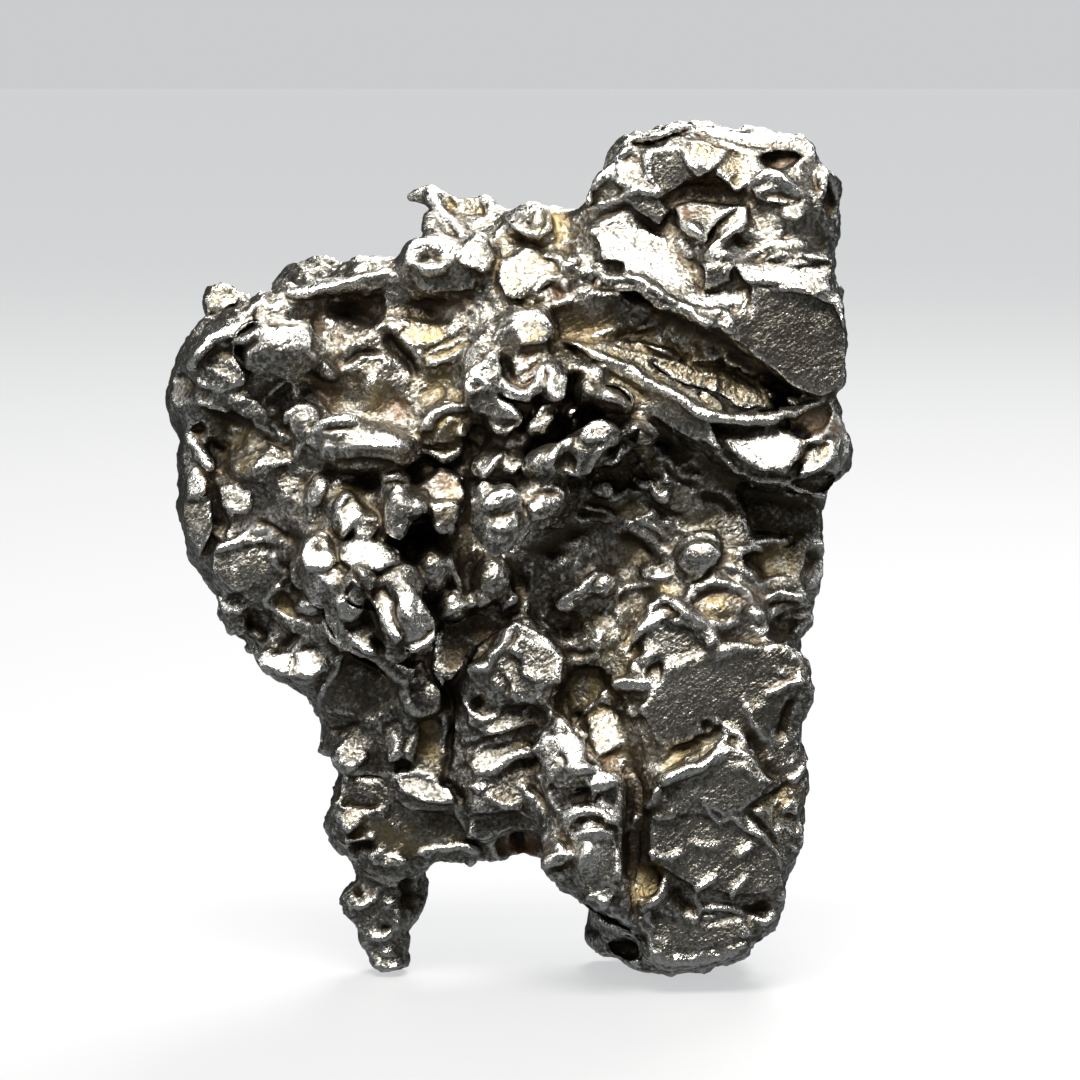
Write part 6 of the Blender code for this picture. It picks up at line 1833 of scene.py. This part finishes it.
def iron_material():
    """Bare nickel iron: bright with wear and painted highlights, dull grey between, brown with
    patina and painted shade in its hollows, black with painted shade where closed in and in its
    cracks, with stains of gold, rust, olive and brown."""
    material = bpy.data.materials.new("meteoric_iron")
    material.use_nodes = True
    n = Nodes(material.node_tree)
    place = n.add("ShaderNodeTexCoord").outputs["Object"]
    brightening, recess, painted_shade, mottle, speck = wear(n, place)
    gold, rust, olive = n.attribute("tint")[:3]
    brown = n.attribute("sky")[1]

    colour = n.mix(n.ramp(n.noise(place, *BROAD), *DARK_SPAN), DULL_IRON, DARK_IRON)
    # bright metal where wear and painted highlights lie
    colour = n.mix(brightening, colour, BRIGHT_IRON)
    grains = n.times(n.ramp(speck, *GRAIN_SPAN), n.ramp(brightening, 0.0, 1.0, *DARK_GRAINS))
    colour = n.mix(grains, colour, GRAIN_DARK)
    colour = n.mix(n.times(recess, PATINA_COVER), colour, PATINA)
    patchy = n.ramp(mottle, *STAIN_SPAN)
    spared = n.minus(1.0, n.times(brightening, BRIGHT_SPARED))
    # the stains; the brown one is partly painted shade
    for share, shade in ((brown, BROWN_AND_SHADE), (olive, OLIVE), (rust, RUST), (gold, GOLD)):
        colour = n.mix(n.times(n.times(share, patchy), spared, clamp=True), colour, shade)
    # the painted shade goes on last, black in closed-in places and cracks
    colour = n.mix(painted_shade, colour, PAINTED_SHADE)

    stained = n.times(n.highest(gold, rust, olive, brown), STAIN_DIRT)
    # patina, painted shade and stains together, which roughen the metal
    dirt_and_shade = n.highest(recess, painted_shade, stained)
    metallic = n.ramp(painted_shade, 0.0, 1.0, 1.0, SHADE_METALLIC)
    metallic = n.minus(metallic, n.times(rust, RUST_METALLIC_LOSS), clamp=True)
    rough = n.plus(n.ramp(brightening, 0.0, 1.0, *ROUGHNESS), n.times(dirt_and_shade, DIRT_AND_SHADE_ROUGHNESS))
    rough = n.plus(rough, n.times(rust, RUST_ROUGHNESS))
    rough = n.plus(rough, n.swing(speck, SPECK_GAIN), clamp=True)

    shader = n.add("ShaderNodeBsdfPrincipled")
    n.put(shader.inputs["Base Color"], colour)
    n.put(shader.inputs["Metallic"], metallic)
    n.put(shader.inputs["Roughness"], rough)
    n.put(shader.inputs["Normal"], bump(n, place))
    output = n.add("ShaderNodeOutputMaterial")
    n.link(shader.outputs["BSDF"], output.inputs["Surface"])
    return material


# The floor: half its width in metres, a grey that the light can't burn out, and its own glow.
FLOOR_HALF = 3.0
FLOOR_GREY = (0.11, 0.11, 0.109, 1)
FLOOR_ROUGHNESS = 0.6
FLOOR_TINT = (0.98, 0.99, 1.0, 1)
FLOOR_EMISSION = 0.55


def pale_floor():
    """A wide floor under the piece, left out of what the metal reflects."""
    corners = [(x * FLOOR_HALF, y * FLOOR_HALF, 0) for x, y in ((-1, -1), (1, -1), (1, 1), (-1, 1))]
    mesh = bpy.data.meshes.new("floor")
    mesh.from_pydata(corners, [], [(0, 1, 2, 3)])
    floor = bpy.data.objects.new("floor", mesh)
    bpy.context.scene.collection.objects.link(floor)
    material = bpy.data.materials.new("pale_floor")
    material.use_nodes = True
    shader = material.node_tree.nodes["Principled BSDF"]
    shader.inputs["Base Color"].default_value = FLOOR_GREY
    shader.inputs["Roughness"].default_value = FLOOR_ROUGHNESS
    shader.inputs["Emission Color"].default_value = FLOOR_TINT
    shader.inputs["Emission Strength"].default_value = FLOOR_EMISSION
    mesh.materials.append(material)
    floor.visible_glossy = False


# The room: what the camera and soft shadows see, then what the metal reflects, which goes
# from the floor's glow to the horizon's between two heights.
BACKDROP_COLOUR, BACKDROP_GLOW, FILL_GLOW = (0.80, 0.81, 0.82, 1), 0.75, 1.6
ROOM_COLOUR, FLOOR_GLOW, HORIZON_GLOW = (0.92, 0.96, 1.0, 1), 0.26, 0.05
GLOW_HEIGHTS = (-0.45, -0.05)


def world():
    """Pale to the camera, and dim in what the metal reflects."""
    room = bpy.data.worlds.new("studio")
    bpy.context.scene.world = room
    room.use_nodes = True
    n = Nodes(room.node_tree)
    path = n.add("ShaderNodeLightPath")
    to_camera, to_matt = path.outputs["Is Camera Ray"], path.outputs["Is Diffuse Ray"]
    seen = n.add("ShaderNodeBackground")
    n.put(seen.inputs["Color"], BACKDROP_COLOUR)
    n.put(seen.inputs["Strength"], n.ramp(to_matt, 0.0, 1.0, BACKDROP_GLOW, FILL_GLOW))
    split = n.add("ShaderNodeSeparateXYZ")
    n.link(n.add("ShaderNodeTexCoord").outputs["Generated"], split.inputs["Vector"])
    glow = n.ramp(split.outputs["Z"], *GLOW_HEIGHTS, FLOOR_GLOW, HORIZON_GLOW)
    around = n.add("ShaderNodeBackground")
    n.put(around.inputs["Color"], ROOM_COLOUR)
    n.put(around.inputs["Strength"], glow)
    mixed = n.add("ShaderNodeMixShader")
    n.link(n.highest(to_camera, to_matt), mixed.inputs["Fac"])
    n.link(around.outputs[0], mixed.inputs[1])
    n.link(seen.outputs[0], mixed.inputs[2])
    output = n.add("ShaderNodeOutputWorld")
    n.link(mixed.outputs[0], output.inputs["Surface"])


# Softboxes: (place, size, power, colour), aimed at the middle of the piece. Places and sizes
# in metres, power in watts.
SOFTBOXES = {
    "key": ((-0.05, -0.25, 0.44), (0.30, 0.26), 6.4, (1.0, 0.985, 0.95)),
    "left": ((-0.42, -0.10, 0.16), (0.08, 0.24), 0.5, (0.95, 0.97, 1.0)),
    "right": ((0.42, -0.06, 0.20), (0.08, 0.24), 0.4, (0.95, 0.97, 1.0)),
    "rear": ((0.10, 0.34, 0.36), (0.26, 0.20), 2.5, (1.0, 0.99, 0.97)),
}
AIM = (0.0, 0.0, 0.022)


def facing(way):
    """The turn of a lamp or a camera that looks this way."""
    return Vector(way).to_track_quat("-Z", "Y").to_euler()


def lights():
    """Four softboxes that the camera doesn't see."""
    bpy.context.scene.view_settings.view_transform = "Standard"
    for name, (place, size, power, colour) in SOFTBOXES.items():
        lamp = bpy.data.lights.new(name, "AREA")
        lamp.shape = "RECTANGLE"
        lamp.size, lamp.size_y = size
        lamp.energy = power
        lamp.color = colour
        holder = bpy.data.objects.new(name, lamp)
        holder.location = place
        holder.rotation_euler = facing(Vector(AIM) - Vector(place))
        holder.visible_camera = False
        bpy.context.scene.collection.objects.link(holder)


def camera():
    """The photo's viewing angle."""
    data = bpy.data.cameras.new("camera")
    data.sensor_width = SENSOR
    data.lens = LENS
    data.clip_start, data.clip_end = 0.01, 20.0
    holder = bpy.data.objects.new("camera", data)
    holder.location = Vector(EYE) * MM
    holder.rotation_euler = facing(FORWARD)
    bpy.context.scene.collection.objects.link(holder)
    bpy.context.scene.camera = holder


iron = build_iron()
iron.data.materials.clear()
iron.data.materials.append(iron_material())
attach(iron, "root")
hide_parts(NODE)
pale_floor()
world()
lights()
camera()
